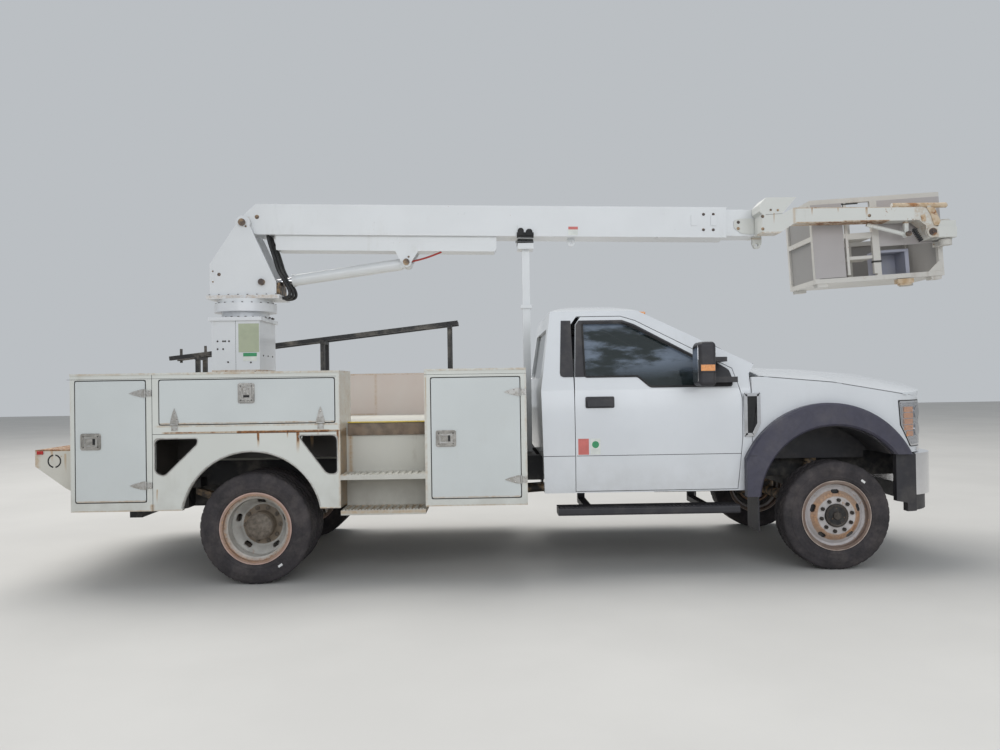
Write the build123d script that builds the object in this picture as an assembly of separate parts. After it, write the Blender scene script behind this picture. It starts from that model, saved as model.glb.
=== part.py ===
from build123d import *
import os
from math import atan2, cos, degrees, hypot, radians, sin

os.makedirs("parts", exist_ok=True)

# A cherry picker truck: a regular cab chassis with a service body, a pedestal boom and a basket.
# Lengths are in millimetres. X runs forward from the rear axle, Y to the left and Z up from the ground.

# Wheels and axles
WHEELBASE = 4300
TYRE_RADIUS = 405
TYRE_WIDTH = 225
TREAD_WIDTH = 172
SHOULDER = 17
RIM_SEAT = 247
RIM_LIP = 262
RIM_WIDTH = 200
RIM_SHEET = 8
RIM_WELL = 222
SEAT_GAP = 0.3
FRONT_TRACK = 1900
REAR_TRACK = 1880
TWIN_SPACING = 272
DISC_SHEET = 10
NUT_FACE_RADIUS = 150
HUB_BORE = 82
HAND_HOLES = 5
HAND_HOLE_RADIUS = 178
SPINDLE_RADIUS = 30
REAR_SPINDLE_RADIUS = 45
HUB_RADIUS = 74
REAR_HUB_RADIUS = 100
RUN_FIT = 0.05
KINGPIN_Y = 850
KINGPIN_RADIUS = 14
AXLE_RADIUS = 45
REAR_AXLE_RADIUS = 60
DIFF_RADIUS = 185
DIFF_NOSE = 290

# Frame
RAIL_OUTER = 432
RAIL_TOP = 840
RAIL_HEIGHT = 200
RAIL_FLANGE = 70
RAIL_SHEET = 8
RAIL_REAR = -1240
RAIL_FRONT = WHEELBASE + 760
HORN_FRONT = RAIL_FRONT + 50
CROSS_LOW = 720
ENGINE_LOW = 620
ENGINE_TOP = 1180
ENGINE_REAR = WHEELBASE - 400
ENGINE_FRONT = ENGINE_REAR + 750
ENGINE_HALF = 270
GEARBOX_REAR = ENGINE_REAR - 780
SPRING_Y = 520
HITCH_Z = 435

# Cab
CAB_HALF = 1016
CAB_FLOOR = 600
AXLE_SETBACK = 615
FIREWALL = WHEELBASE - AXLE_SETBACK
CAB_REAR_LOW = FIREWALL - 1566
CAB_REAR_BELT = CAB_REAR_LOW - 16
BELT = 1372
ROOF_REAR = CAB_REAR_BELT + 92
ROOF_FRONT = ROOF_REAR + 665
ROOF_EDGE = 1985
ROOF_TOP = 2061
ROOF_HALF = 770
MIRROR_REACH = 284
COWL_X = FIREWALL + 48
COWL_Z = 1550
CAB_WALL = 55
FLOOR_TOP = 890
FLOOR_LOW = 860
SILL_INNER = 880
DASH_HALF = 880
GLASS_INSET = 18
GLASS_SHEET = 6
PANEL_GAP = 5

# Hood, fenders and front end
FENDER_SHEET = 40
HOOD_SHEET = 35
HOOD_REAR = FIREWALL + 60
ARCH_X = WHEELBASE - 7
ARCH_Z = 512
ARCH_RADIUS = 567
FLARE_X = WHEELBASE - 50
FLARE_Z = 560
FLARE_RADIUS = 690
FLARE_OUT = 1085
FLARE_LOW = 560
FLAP_SHEET = 8
APRON_OUT = 620
APRON_LOW = 800
NOSE = WHEELBASE + 855
CORNER_LENGTH = 395
GRILLE_HALF = 640
GRILLE_LOW = 880
GRILLE_TOP = 1285
BUMPER_FRONT = NOSE + 70
CHROME_REAR = NOSE - 230
BUMPER_LOW = 545
BUMPER_TOP = 858

# Service body
BODY_REAR = -1309
CAB_TO_BODY = 122
BODY_FRONT = CAB_REAR_BELT - CAB_TO_BODY
REST_X = BODY_FRONT + 67
BODY_HALF = 1215
BODY_INNER = 715
BODY_LOW = 550
BODY_TOP = 1545
BODY_SHEET = 20
DECK_TOP = 1150
DECK_SHEET = 30
WELL_REAR = -716
WELL_FRONT = 627
STEP_FRONT = 1241
WELL_TOP = 1106
HOUSE_LOW = 880
BODY_ARCH_X = -16
BODY_ARCH_Z = 461
BODY_ARCH_RADIUS = 515
DOOR_SHEET = 30
DOOR_PROUD = 2

# Boom gear
SLEW_X = -385
PEDESTAL_LENGTH = 400
PEDESTAL_HALF = 260
PEDESTAL_SHIFT = -15
PEDESTAL_SHEET = 12
PEDESTAL_TOP = 1991
CAP_TOP = 2022
CAP_OVERHANG = 22
NECK_RADIUS = 200
NECK_TOP = 2075
RING_RADIUS = 261
RING_TOP = 2146
RING_GAP = 0.3
TURRET_RING_RADIUS = 235
TURRET_RING_TOP = 2183
TURRET_BASE_TOP = 2215
TURRET_INNER = 150
TURRET_SHEET = 22
LUFF_X = -356
LUFF_Z = 2829
LUFF_PIN = 35
BOOM_SLOPE = 1.1
BOOM_HALF = 130
BOOM_LOW = 2738
BOOM_DEPTH = 261
BOOM_TOP = BOOM_LOW + BOOM_DEPTH
BOOM_REAR = -244
BOOM_FRONT = 3775
BOOM_SHEET = 10
KEEL_LOW = BOOM_LOW - 128
KEEL_HALF = 95
KEEL_FRONT = REST_X - 250
SLIDE_GAP = 7
PAD_GAP = 0.3
EXTENSION_REAR = 450
EXTENSION_FRONT = BOOM_FRONT + 245
LIFT_FOOT = (-199, 2322)
LIFT_HEAD = (1025, KEEL_LOW - 95)
LIFT_BARREL_RADIUS = 50
LIFT_ROD_RADIUS = 30
LIFT_PIN = 25
EYE_X = 2450
EYE_RADIUS = 13
COLLAR_X = (REST_X - 70, REST_X + 64)
COLLAR_DEPTH = 18
REST_PAD = 17
ARM_NEAR = -330
ARM_FAR = -190
TIP_EYE = (4066, 2606)
TIP_EYE_RADIUS = 14
LEVEL_X = 5445
LEVEL_Z = 2648
LEVEL_PIN = 20
LEVEL_LUG = 50
HEAD_LOW = LEVEL_Z - 46
HEAD_TOP = LEVEL_Z + 97
TURN_X = LEVEL_X + 155
TURN_PIN = 18
BASKET_LENGTH = 1120
BASKET_WIDTH = 600
BASKET_HEIGHT = 720
BASKET_REAR = 4530
BASKET_LOW = LEVEL_Z - 405
BASKET_NEAR = -150
BASKET_TILT = 3.3
BASKET_TUBE = 40
MIDDLE_RAIL = 374
TAIL_REACH = 1622

# The part's origin lies midway between its two ends.
REACH_FRONT = TURN_X + LEVEL_LUG
ORIGIN_X = (REACH_FRONT - TAIL_REACH) / 2

FRONT_Y = FRONT_TRACK / 2
REAR_Y = REAR_TRACK / 2
RAIL_LOW = RAIL_TOP - RAIL_HEIGHT
ARM_Y = (ARM_NEAR + ARM_FAR) / 2


def block(x, y, z):
    """A box between a low and a high limit along each axis."""
    centre = [(low + high) / 2 for low, high in (x, y, z)]
    sizes = [high - low for low, high in (x, y, z)]
    return Pos(*centre) * Box(*sizes)


def across(sketch, y):
    """A sketch of (x, z) points made solid between two y limits."""
    plane = Plane(origin=(0, y[1], 0), x_dir=(1, 0, 0), z_dir=(0, -1, 0))
    return extrude(plane * sketch, y[1] - y[0])


def along(sketch, x):
    """A sketch of (y, z) points made solid between two x limits."""
    plane = Plane(origin=(x[0], 0, 0), x_dir=(0, 1, 0), z_dir=(1, 0, 0))
    return extrude(plane * sketch, x[1] - x[0])


def upward(sketch, z):
    """A sketch of (x, y) points made solid between two z limits."""
    return extrude(Pos(0, 0, z[0]) * sketch, z[1] - z[0])


def polygon(*points):
    return make_face(Polyline(*points, close=True))


def rounded(points, radius):
    face = polygon(*points)
    return fillet(face.vertices(), radius)


def bar_y(x, z, radius, y):
    """A round bar across the truck."""
    return Pos(x, (y[0] + y[1]) / 2, z) * Rot(90, 0, 0) * Cylinder(radius, y[1] - y[0])


def bar_z(x, y, radius, z):
    """An upright round bar."""
    return Pos(x, y, (z[0] + z[1]) / 2) * Cylinder(radius, z[1] - z[0])


def rod(start, end, radius):
    """A round bar between two points."""
    path = Line(start, end)
    return sweep(path.location_at(0) * Circle(radius), path)


def tube_box(start, end, width):
    """A square bar between two points that lie in a plane of constant y, or one above the other."""
    path = Line(start, end)
    direction = path.tangent_at(0)
    side = Vector(0, 1, 0) if abs(direction.Y) < 0.5 else Vector(1, 0, 0)
    plane = Plane(origin=start, x_dir=side, z_dir=direction)
    return extrude(plane * Rectangle(width, width), path.length)


def other_side(shape):
    return mirror(shape, Plane.XZ)


def both_sides(shape):
    return [shape, other_side(shape)]


def solids_of(pieces):
    found = []
    for piece in pieces:
        found.extend(piece.solids())
    return found


def save(name, *pieces):
    """Writes one node, moved so that the part's origin is at zero."""
    solids = [Pos(-ORIGIN_X, 0, 0) * solid for solid in solids_of(pieces)]
    whole = solids[0] if len(solids) == 1 else Compound(children=solids)
    export_step(whole, f"parts/{name}.step")


def turned(points):
    """A revolved ring from (across, radius) points, its axis along Y."""
    face = polygon(*[(across_y, radius, 0) for across_y, radius in points])
    return Rot(0, 0, 90) * revolve(face, Axis.X)


# Tyres and wheels, each made about its own middle and then set on its axle.
def tyre():
    half = TYRE_WIDTH / 2
    tread = TREAD_WIDTH / 2
    bead = RIM_WIDTH / 2 - RIM_SHEET - SEAT_GAP
    seat = RIM_SEAT + SEAT_GAP
    wall_low = RIM_LIP + 6
    profile = [
        Line((-bead, seat), (-bead, RIM_LIP)),
        Line((-bead, RIM_LIP), (-bead - 8, wall_low)),
        ThreePointArc((-bead - 8, wall_low), (-half, 332), (-tread - SHOULDER, TYRE_RADIUS - SHOULDER)),
        ThreePointArc((-tread - SHOULDER, TYRE_RADIUS - SHOULDER), (-tread - 12, TYRE_RADIUS - 5),
                      (-tread, TYRE_RADIUS)),
        Line((-tread, TYRE_RADIUS), (0, TYRE_RADIUS)),
    ]
    left = Curve() + profile
    whole = left + mirror(left, Plane.YZ) + Line((-bead, seat), (bead, seat))
    return Rot(0, 0, 90) * revolve(make_face(whole), Axis.X)


def rim():
    lip = RIM_WIDTH / 2
    return turned([
        (-lip, RIM_LIP), (-lip + RIM_SHEET, RIM_LIP), (-lip + RIM_SHEET, RIM_SEAT), (-62, RIM_SEAT),
        (-46, RIM_WELL), (46, RIM_WELL), (62, RIM_SEAT), (lip - RIM_SHEET, RIM_SEAT),
        (lip - RIM_SHEET, RIM_LIP), (lip, RIM_LIP), (lip, RIM_SEAT - RIM_SHEET),
        (66, RIM_SEAT - RIM_SHEET), (50, RIM_WELL - RIM_SHEET), (-50, RIM_WELL - RIM_SHEET),
        (-66, RIM_SEAT - RIM_SHEET), (-lip, RIM_SEAT - RIM_SHEET)])


def disc(face_out):
    """The wheel's dished centre: its nut face lies face_out from the tyre's middle."""
    root = 36
    step = DISC_SHEET
    cone = NUT_FACE_RADIUS + 18
    sheet = turned([
        (root + step, RIM_WELL - 2), (face_out - 8, cone), (face_out, NUT_FACE_RADIUS),
        (face_out, HUB_BORE), (face_out - step, HUB_BORE), (face_out - step, NUT_FACE_RADIUS - 3),
        (face_out - 8 - step, cone - 8), (root, RIM_WELL - RIM_SHEET - 6)])
    hole = SlotOverall(62, 30)
    for turn in range(HAND_HOLES):
        angle = radians(90 + turn * 360 / HAND_HOLES)
        place = Pos(HAND_HOLE_RADIUS * cos(angle), 0, HAND_HOLE_RADIUS * sin(angle))
        cutter = place * Rot(0, 90 - degrees(angle), 0) * across(hole, (-TYRE_WIDTH, TYRE_WIDTH))
        sheet = sheet - cutter
    return sheet


def front_wheel():
    """A front wheel, made for the left side: its convex face looks to +Y."""
    face_out = 92
    hub = bar_y(0, 0, HUB_RADIUS, (-30, face_out + 14))
    flange = bar_y(0, 0, NUT_FACE_RADIUS - 20, (face_out - 2 * DISC_SHEET, face_out - DISC_SHEET))
    drum = bar_y(0, 0, 165, (-60, 30)) - bar_y(0, 0, 150, (-60, 22))
    spindle_hole = bar_y(0, 0, SPINDLE_RADIUS + RUN_FIT, (-100, 60))
    return rim() + disc(face_out) + hub + flange + drum + bar_y(0, 0, 150, (10, 30)) - spindle_hole


def rear_wheels():
    """The twin wheels of the left side about the middle of the pair."""
    half = TWIN_SPACING / 2
    nut_face = half - DISC_SHEET
    outer = Pos(0, half, 0) * Rot(0, 0, 180) * (rim() + disc(nut_face))
    inner = Pos(0, -half, 0) * (rim() + disc(nut_face + DISC_SHEET))
    hub = bar_y(0, 0, REAR_HUB_RADIUS, (-60, 128))
    flange = bar_y(0, 0, NUT_FACE_RADIUS - 10, (-DISC_SHEET * 2, DISC_SHEET * 2))
    drum = bar_y(0, 0, 190, (-150, -60)) - bar_y(0, 0, 175, (-151, -72))
    back = bar_y(0, 0, 189, (-72, -60))
    bore = bar_y(0, 0, REAR_SPINDLE_RADIUS + RUN_FIT, (-200, 100))
    return outer + inner + hub + flange + drum + back - bore


def wheels():
    left_tyre = Pos(WHEELBASE, FRONT_Y, TYRE_RADIUS) * tyre()
    save("tyre_front_left", left_tyre)
    save("tyre_front_right", other_side(left_tyre))
    left_wheel = Pos(WHEELBASE, FRONT_Y, TYRE_RADIUS) * front_wheel()
    save("wheel_front_left", left_wheel)
    save("wheel_front_right", other_side(left_wheel))
    pair = [Pos(0, REAR_Y + side * TWIN_SPACING / 2, TYRE_RADIUS) * tyre() for side in (-1, 1)]
    save("tyres_rear_left", *pair)
    save("tyres_rear_right", *[other_side(one) for one in pair])
    twins = Pos(0, REAR_Y, TYRE_RADIUS) * rear_wheels()
    save("wheels_rear_left", twins)
    save("wheels_rear_right", other_side(twins))


# Axles, knuckles, springs and the frame that they carry
def front_axle():
    boss_half = 55
    beam = bar_y(WHEELBASE, TYRE_RADIUS, AXLE_RADIUS, (-KINGPIN_Y, KINGPIN_Y))
    for side in (-1, 1):
        beam += bar_z(WHEELBASE, side * KINGPIN_Y, 38, (TYRE_RADIUS - boss_half, TYRE_RADIUS + boss_half))
    low, high = TYRE_RADIUS - 60, TYRE_RADIUS + 60
    for side in (-1, 1):
        beam -= bar_z(WHEELBASE, side * KINGPIN_Y, KINGPIN_RADIUS + RUN_FIT, (low, high))
        outside = sorted((side * (KINGPIN_Y + 38), side * (KINGPIN_Y + 60)))
        beam -= block((WHEELBASE - 60, WHEELBASE + 60), outside, (low, high))
    coil_top = RAIL_TOP - 40
    coil_low = TYRE_RADIUS + AXLE_RADIUS - 8
    for side in (-1, 1):
        coil = bar_z(WHEELBASE, side * SPRING_Y, 55, (coil_low, coil_top))
        for turn in range(5):
            z = coil_low + 50 + turn * 62
            groove = bar_z(WHEELBASE, side * SPRING_Y, 70, (z, z + 30))
            coil -= groove - bar_z(WHEELBASE, side * SPRING_Y, 42, (z, z + 30))
        beam += coil
    return beam


def knuckle():
    """The left steering knuckle: two lugs, a kingpin and the wheel's spindle."""
    lug_gap = 57
    lug = 20
    outer = KINGPIN_Y + 46
    plate = block((WHEELBASE - 45, WHEELBASE + 45), (outer, outer + 16),
                  (TYRE_RADIUS - lug_gap - lug, TYRE_RADIUS + lug_gap + lug))
    body = plate
    for low in (TYRE_RADIUS + lug_gap, TYRE_RADIUS - lug_gap - lug):
        body += block((WHEELBASE - 30, WHEELBASE + 30), (KINGPIN_Y, outer), (low, low + lug))
        body += bar_z(WHEELBASE, KINGPIN_Y, 30, (low, low + lug))
    body += bar_z(WHEELBASE, KINGPIN_Y, KINGPIN_RADIUS, (TYRE_RADIUS - 70, TYRE_RADIUS + 70))
    body += bar_y(WHEELBASE, TYRE_RADIUS, SPINDLE_RADIUS, (outer, FRONT_Y + 50))
    steering_arm = block((WHEELBASE - 190, WHEELBASE - 40), (KINGPIN_Y + 10, KINGPIN_Y + 34),
                         (TYRE_RADIUS - lug_gap - lug, TYRE_RADIUS - lug_gap))
    foot = block((WHEELBASE - 60, WHEELBASE - 20), (KINGPIN_Y + 10, outer + 10),
                 (TYRE_RADIUS - lug_gap - lug, TYRE_RADIUS - lug_gap))
    return body + steering_arm + foot


def rear_axle():
    """The rear axle's housing, with the leaf springs clamped on it."""
    tube = bar_y(0, TYRE_RADIUS, REAR_AXLE_RADIUS, (-REAR_Y + 160, REAR_Y - 160))
    spindle = bar_y(0, TYRE_RADIUS, REAR_SPINDLE_RADIUS, (-REAR_Y - 90, REAR_Y + 90))
    housing = bar_y(0, TYRE_RADIUS, DIFF_RADIUS, (-110, 110))
    housing = fillet(housing.edges(), 60)
    nose = rod((120, 0, TYRE_RADIUS + 12), (DIFF_NOSE, 0, TYRE_RADIUS + 12), 80)
    axle = tube + spindle + housing + nose
    top = RAIL_LOW
    bow = TYRE_RADIUS + REAR_AXLE_RADIUS + 30
    for side in (-1, 1):
        lower = ThreePointArc((-640, top - 50), (0, bow - 45), (640, top - 50))
        upper = ThreePointArc((640, top), (0, bow + 25), (-640, top))
        ends = [Line((640, top - 50), (640, top)), Line((-640, top), (-640, top - 50))]
        leaf = make_face(Curve() + [lower, upper] + ends)
        axle += across(leaf, (side * SPRING_Y - 38, side * SPRING_Y + 38))
        axle += block((-60, 60), (side * SPRING_Y - 50, side * SPRING_Y + 50),
                      (TYRE_RADIUS, bow - 20))
    return axle


CAB_MOUNTS = (FIREWALL - 1385, FIREWALL - 205)
CROSS_MEMBERS = (-1190, -900, -520, -385, 450, 1300, REST_X + 7, FIREWALL - 465, RAIL_FRONT - 50)


def frame_rails():
    web = (RAIL_OUTER - RAIL_SHEET, RAIL_OUTER)
    flange = (RAIL_OUTER - RAIL_FLANGE, RAIL_OUTER)
    length = (RAIL_REAR, RAIL_FRONT)
    rail = block(length, web, (RAIL_LOW, RAIL_TOP))
    rail += block(length, flange, (RAIL_LOW, RAIL_LOW + RAIL_SHEET))
    rail += block(length, flange, (RAIL_TOP - RAIL_SHEET, RAIL_TOP))
    outreach = (RAIL_OUTER - RAIL_SHEET, SPRING_Y + 60)
    rail += block((WHEELBASE - 70, WHEELBASE + 70), outreach, (RAIL_TOP - 40, RAIL_TOP))
    for x in (-640, 640):
        rail += block((x - 45, x + 45), outreach, (RAIL_LOW, RAIL_LOW + 70))
    hanger = polygon((-800, RAIL_LOW + 40), (-800, 520), (-740, 470), (-690, 480), (-690, RAIL_LOW + 40))
    rail += across(hanger, (RAIL_OUTER - RAIL_SHEET, SPRING_Y + 60))
    for x in CAB_MOUNTS:
        rail += block((x - 45, x + 45), flange, (RAIL_TOP, FLOOR_LOW))
    frame = rail + other_side(rail)
    inside = (-RAIL_OUTER + RAIL_SHEET / 2, RAIL_OUTER - RAIL_SHEET / 2)
    for x in CROSS_MEMBERS:
        frame += block((x - 40, x + 40), inside, (CROSS_LOW, RAIL_TOP))
    cradle_x = (ENGINE_REAR + ENGINE_FRONT) / 2 - 120
    frame += block((cradle_x - 40, cradle_x + 40), inside, (ENGINE_LOW - 50, ENGINE_LOW))
    for side in (-1, 1):
        arm = sorted((side * (RAIL_OUTER - RAIL_FLANGE), side * RAIL_OUTER))
        frame += block((cradle_x - 40, cradle_x + 40), arm, (ENGINE_LOW - 50, RAIL_LOW + 2))
        tip = sorted((side * (RAIL_OUTER - RAIL_FLANGE), side * RAIL_OUTER))
        frame += block((RAIL_FRONT, HORN_FRONT), tip, (RAIL_LOW + 20, RAIL_TOP - 60))
    return frame + tow_hitch()


def tow_hitch():
    """The hitch under the rear end: a cross bar on two hangers, with a square receiver."""
    bar = (-1200, -1100)
    hitch = block(bar, (-480, 480), (HITCH_Z - 40, HITCH_Z + 40))
    hitch += block((BODY_REAR - 20, -1150), (-38, 38), (HITCH_Z - 38, HITCH_Z + 38))
    hitch -= block((BODY_REAR - 21, -1160), (-26, 26), (HITCH_Z - 26, HITCH_Z + 26))
    for side in (-1, 1):
        plate = sorted((side * RAIL_OUTER, side * (RAIL_OUTER + 12)))
        hitch += block(bar, plate, (HITCH_Z - 40, RAIL_LOW + 120))
    return hitch


def powertrain():
    """The engine as a plain block, with the gearbox and the propeller shaft."""
    engine = block((ENGINE_REAR, ENGINE_FRONT), (-ENGINE_HALF, ENGINE_HALF), (ENGINE_LOW, ENGINE_TOP))
    engine = chamfer(engine.edges().filter_by(Axis.X).group_by(Axis.Z)[-1], 60)
    gearbox = block((GEARBOX_REAR, ENGINE_REAR), (-150, 150), (480, CROSS_LOW))
    gearbox = chamfer(gearbox.edges().filter_by(Axis.X), 40)
    shaft = rod((GEARBOX_REAR + 20, 0, 590), (DIFF_NOSE + 2.7, 0, TYRE_RADIUS + 12), 42)
    return engine + gearbox + shaft


def chassis_pieces():
    save("frame_rails", frame_rails())
    save("powertrain", powertrain())
    save("front_axle", front_axle())
    save("knuckle_left", knuckle())
    save("knuckle_right", other_side(knuckle()))
    save("rear_axle", rear_axle())
    tank = block((-1080, -330), (-330, 330), (455, CROSS_LOW))
    save("fuel_tank", fillet(tank.edges().filter_by(Axis.X), 50))


CAB_ZONE = (CAB_REAR_BELT - 300, FIREWALL + 315)


# The cab: one closed form made from its side view and its end view, at any inset.
def cab_form(inset):
    side = Curve() + [
        Line((FIREWALL, CAB_FLOOR), (CAB_REAR_LOW, CAB_FLOOR)),
        Line((CAB_REAR_LOW, CAB_FLOOR), (CAB_REAR_BELT, BELT)),
        Line((CAB_REAR_BELT, BELT), (ROOF_REAR, ROOF_EDGE)),
        ThreePointArc((ROOF_REAR, ROOF_EDGE), ((ROOF_REAR + ROOF_FRONT) / 2, ROOF_TOP),
                      (ROOF_FRONT, ROOF_EDGE + 8)),
        Line((ROOF_FRONT, ROOF_EDGE + 8), (COWL_X, COWL_Z)),
        Line((COWL_X, COWL_Z), (FIREWALL, COWL_Z - 70)),
        Line((FIREWALL, COWL_Z - 70), (FIREWALL, CAB_FLOOR)),
    ]
    end = Curve() + [
        Line((-CAB_HALF + 20, CAB_FLOOR), (CAB_HALF - 20, CAB_FLOOR)),
        ThreePointArc((CAB_HALF - 20, CAB_FLOOR), (CAB_HALF, 1000), (CAB_HALF - 18, BELT)),
        Line((CAB_HALF - 18, BELT), (ROOF_HALF, ROOF_EDGE)),
        ThreePointArc((ROOF_HALF, ROOF_EDGE), (0, ROOF_TOP + 10), (-ROOF_HALF, ROOF_EDGE)),
        Line((-ROOF_HALF, ROOF_EDGE), (-CAB_HALF + 18, BELT)),
        ThreePointArc((-CAB_HALF + 18, BELT), (-CAB_HALF, 1000), (-CAB_HALF + 20, CAB_FLOOR)),
    ]
    side_face = make_face(side)
    end_face = make_face(end)
    if inset:
        side_face = offset(side_face, -inset, kind=Kind.INTERSECTION)
        end_face = offset(end_face, -inset, kind=Kind.INTERSECTION)
    return across(side_face, (-CAB_HALF - 50, CAB_HALF + 50)) & along(end_face, CAB_ZONE)


def cab_side_room(inset):
    """All that lies between the cab's two side walls, at an inset from their outer faces."""
    low, high = CAB_FLOOR - 100, ROOF_EDGE + 150
    lean = (CAB_HALF - 18 - ROOF_HALF) / (ROOF_EDGE - BELT)
    belt = CAB_HALF - 18 - inset
    top = belt - lean * (high - BELT)
    foot = CAB_HALF - 20 - inset
    outline = Curve() + [
        Line((-foot, low), (foot, low)),
        Line((foot, low), (foot, CAB_FLOOR)),
        ThreePointArc((foot, CAB_FLOOR), (CAB_HALF - inset, 1000), (belt, BELT)),
        Line((belt, BELT), (top, high)),
        Line((top, high), (-top, high)),
        Line((-top, high), (-belt, BELT)),
        ThreePointArc((-belt, BELT), (-CAB_HALF + inset, 1000), (-foot, CAB_FLOOR)),
        Line((-foot, CAB_FLOOR), (-foot, low)),
    ]
    return along(make_face(outline), CAB_ZONE)


def behind_firewall(points):
    """(distance behind the firewall, height) points as (x, z) points."""
    return [(FIREWALL - back, z) for back, z in points]


# Outlines on the cab's side: distance behind the firewall, height
DOOR_OPENING = ((1329, 614), (111, 614), (73, 1000), (69, 1300), (125, 1520), (835, 1905), (945, 1940),
                (1285, 1940), (1329, 1880))
DOOR_OUTLINE = ((1329, 614), (111, 614), (73, 1000), (69, 1300), (125, 1520), (835, 1905), (945, 1940),
                (1257, 1940), (1299, 1880), (1324, 1474), (1329, 1300))
DOOR_WINDOW = ((1245, 1474), (845, 1474), (755, 1392), (155, 1392), (245, 1520), (855, 1858),
               (945, 1888), (1245, 1888))


def cab_door_opening(gap):
    """The side door's opening as seen from the side, with a gap to the door all round."""
    face = polygon(*behind_firewall(DOOR_OPENING))
    return offset(face, gap, kind=Kind.INTERSECTION) if gap else face


def cab_door_outline():
    """The side door as seen from the side: its leaning rear edge gives it room to swing past the pillar."""
    return polygon(*behind_firewall(DOOR_OUTLINE))


def door_window():
    return rounded(behind_firewall(DOOR_WINDOW), 12)


def windscreen_opening():
    return rounded([(-845, COWL_Z + 45), (845, COWL_Z + 45), (700, ROOF_EDGE - 60), (-700, ROOF_EDGE - 60)],
                   60)


def rear_window_opening():
    return rounded([(-700, 1470), (700, 1470), (640, 1860), (-640, 1860)], 50)


def cab_pieces():
    outer = cab_form(0)
    inner = cab_form(CAB_WALL)
    room = inner & block(CAB_ZONE, (-CAB_HALF, CAB_HALF), (FLOOR_TOP, ROOF_TOP))
    under = block(CAB_ZONE, (-SILL_INNER, SILL_INNER), (CAB_FLOOR - 50, FLOOR_LOW))
    wall = outer - room - under
    side_band = (-CAB_HALF - 60, -ROOF_HALF + 160)
    door_zone = across(cab_door_outline(), side_band)
    door = (outer & door_zone) - cab_side_room(CAB_WALL) - across(door_window(), side_band)
    opening = across(cab_door_opening(PANEL_GAP), side_band)
    windscreen_zone = along(windscreen_opening(), (ROOF_FRONT + 40, CAB_ZONE[1]))
    rear_zone = along(rear_window_opening(), (CAB_ZONE[0], CAB_ZONE[0] + 600))
    opening = opening - cab_side_room(CAB_WALL + PANEL_GAP)
    shell = wall - opening - other_side(opening) - windscreen_zone - rear_zone
    for z in (760, 1180):
        leaf = block((FIREWALL - 125, FIREWALL - 45), (-CAB_HALF + 24, -CAB_HALF + 46), (z, z + 90))
        leaf = (leaf & opening) - across(cab_door_opening(SEAT_GAP), side_band)
        leaf &= block((FIREWALL - 113, FIREWALL - 25), (-CAB_HALF, 0), (z - 1, z + 91))
        shell = shell + leaf + other_side(leaf)
    save("cab_shell", shell)
    layer = cab_form(GLASS_INSET) - cab_form(GLASS_INSET + GLASS_SHEET)
    save("cab_glass", layer & windscreen_zone, layer & rear_zone)
    save("door_right", door)
    save("door_left", other_side(door))
    pane = layer & across(offset(door_window(), -SEAT_GAP), side_band)
    save("door_glass_right", pane)
    save("door_glass_left", other_side(pane))
    rear = FIREWALL - 460
    side = -CAB_HALF
    mirror_head = block((rear, rear + 125), (side - MIRROR_REACH, side - 79), (BELT + 18, BELT + 340))
    mirror_head = fillet(mirror_head.edges(), 32)
    stalks = block((rear + 75, rear + 335), (side - 84, side + 76), (BELT + 43, BELT + 85))
    stalks += block((rear + 75, rear + 255), (side - 94, side + 136), (BELT + 198, BELT + 233))
    stalks -= outer
    mirror_right = mirror_head + stalks
    save("mirror_right", mirror_right)
    save("mirror_left", other_side(mirror_right))


def cab_inside():
    floor = FLOOR_TOP
    back = CAB_REAR_BELT + CAB_WALL
    cushion_low = floor + 230
    half = 800
    base = block((back + 130, back + 620), (-half + 20, half - 20), (floor, cushion_low))
    cushion = block((back + 80, back + 680), (-half, half), (cushion_low, cushion_low + 130))
    cushion = fillet(cushion.edges().filter_by(Axis.Y), 45)
    rest = polygon((back + 80, cushion_low + 110), (back + 230, cushion_low + 110),
                   (back + 175, cushion_low + 690), (back + 95, cushion_low + 690))
    rest = across(fillet(rest.vertices(), 30), (-half + 60, half - 60))
    save("bench_seat", base + cushion + rest)
    dash = polygon((FIREWALL - CAB_WALL, 1120), (FIREWALL - CAB_WALL, 1440), (FIREWALL - 130, 1470),
                   (FIREWALL - 380, 1380), (FIREWALL - 400, 1180), (FIREWALL - 230, 1040))
    dash = across(fillet(dash.vertices().sort_by(Axis.X)[:3], 30), (-DASH_HALF, DASH_HALF))
    wheel_place = Pos(FIREWALL - 560, 420, 1400) * Rot(0, -62, 0)
    ring = wheel_place * Torus(195, 15)
    spokes = wheel_place * (Box(30, 380, 14) + Cylinder(50, 40))
    column = rod((FIREWALL - 560, 420, 1400), (FIREWALL - 320, 420, 1272), 32)
    save("dashboard", dash + ring + spokes + column)


# The front end: hood, fenders, grille, lamps and bumper
def plan_form(inset, nose):
    """The front end as seen from above, rounded at its corners."""
    half = CAB_HALF - inset
    front = nose - inset
    corner = (front - 130, half - 90)
    start = NOSE - CORNER_LENGTH
    rear = FIREWALL - 600
    shape = Curve() + [
        Line((rear, -half), (start, -half)),
        ThreePointArc((start, -half), corner_point(-corner[1], corner[0]), (front - 60, -GRILLE_HALF)),
        ThreePointArc((front - 60, -GRILLE_HALF), (front, 0), (front - 60, GRILLE_HALF)),
        ThreePointArc((front - 60, GRILLE_HALF), corner_point(corner[1], corner[0]), (start, half)),
        Line((start, half), (rear, half)),
        Line((rear, half), (rear, -half)),
    ]
    return make_face(shape)


def corner_point(y, x):
    return (x - 70, y)


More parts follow.
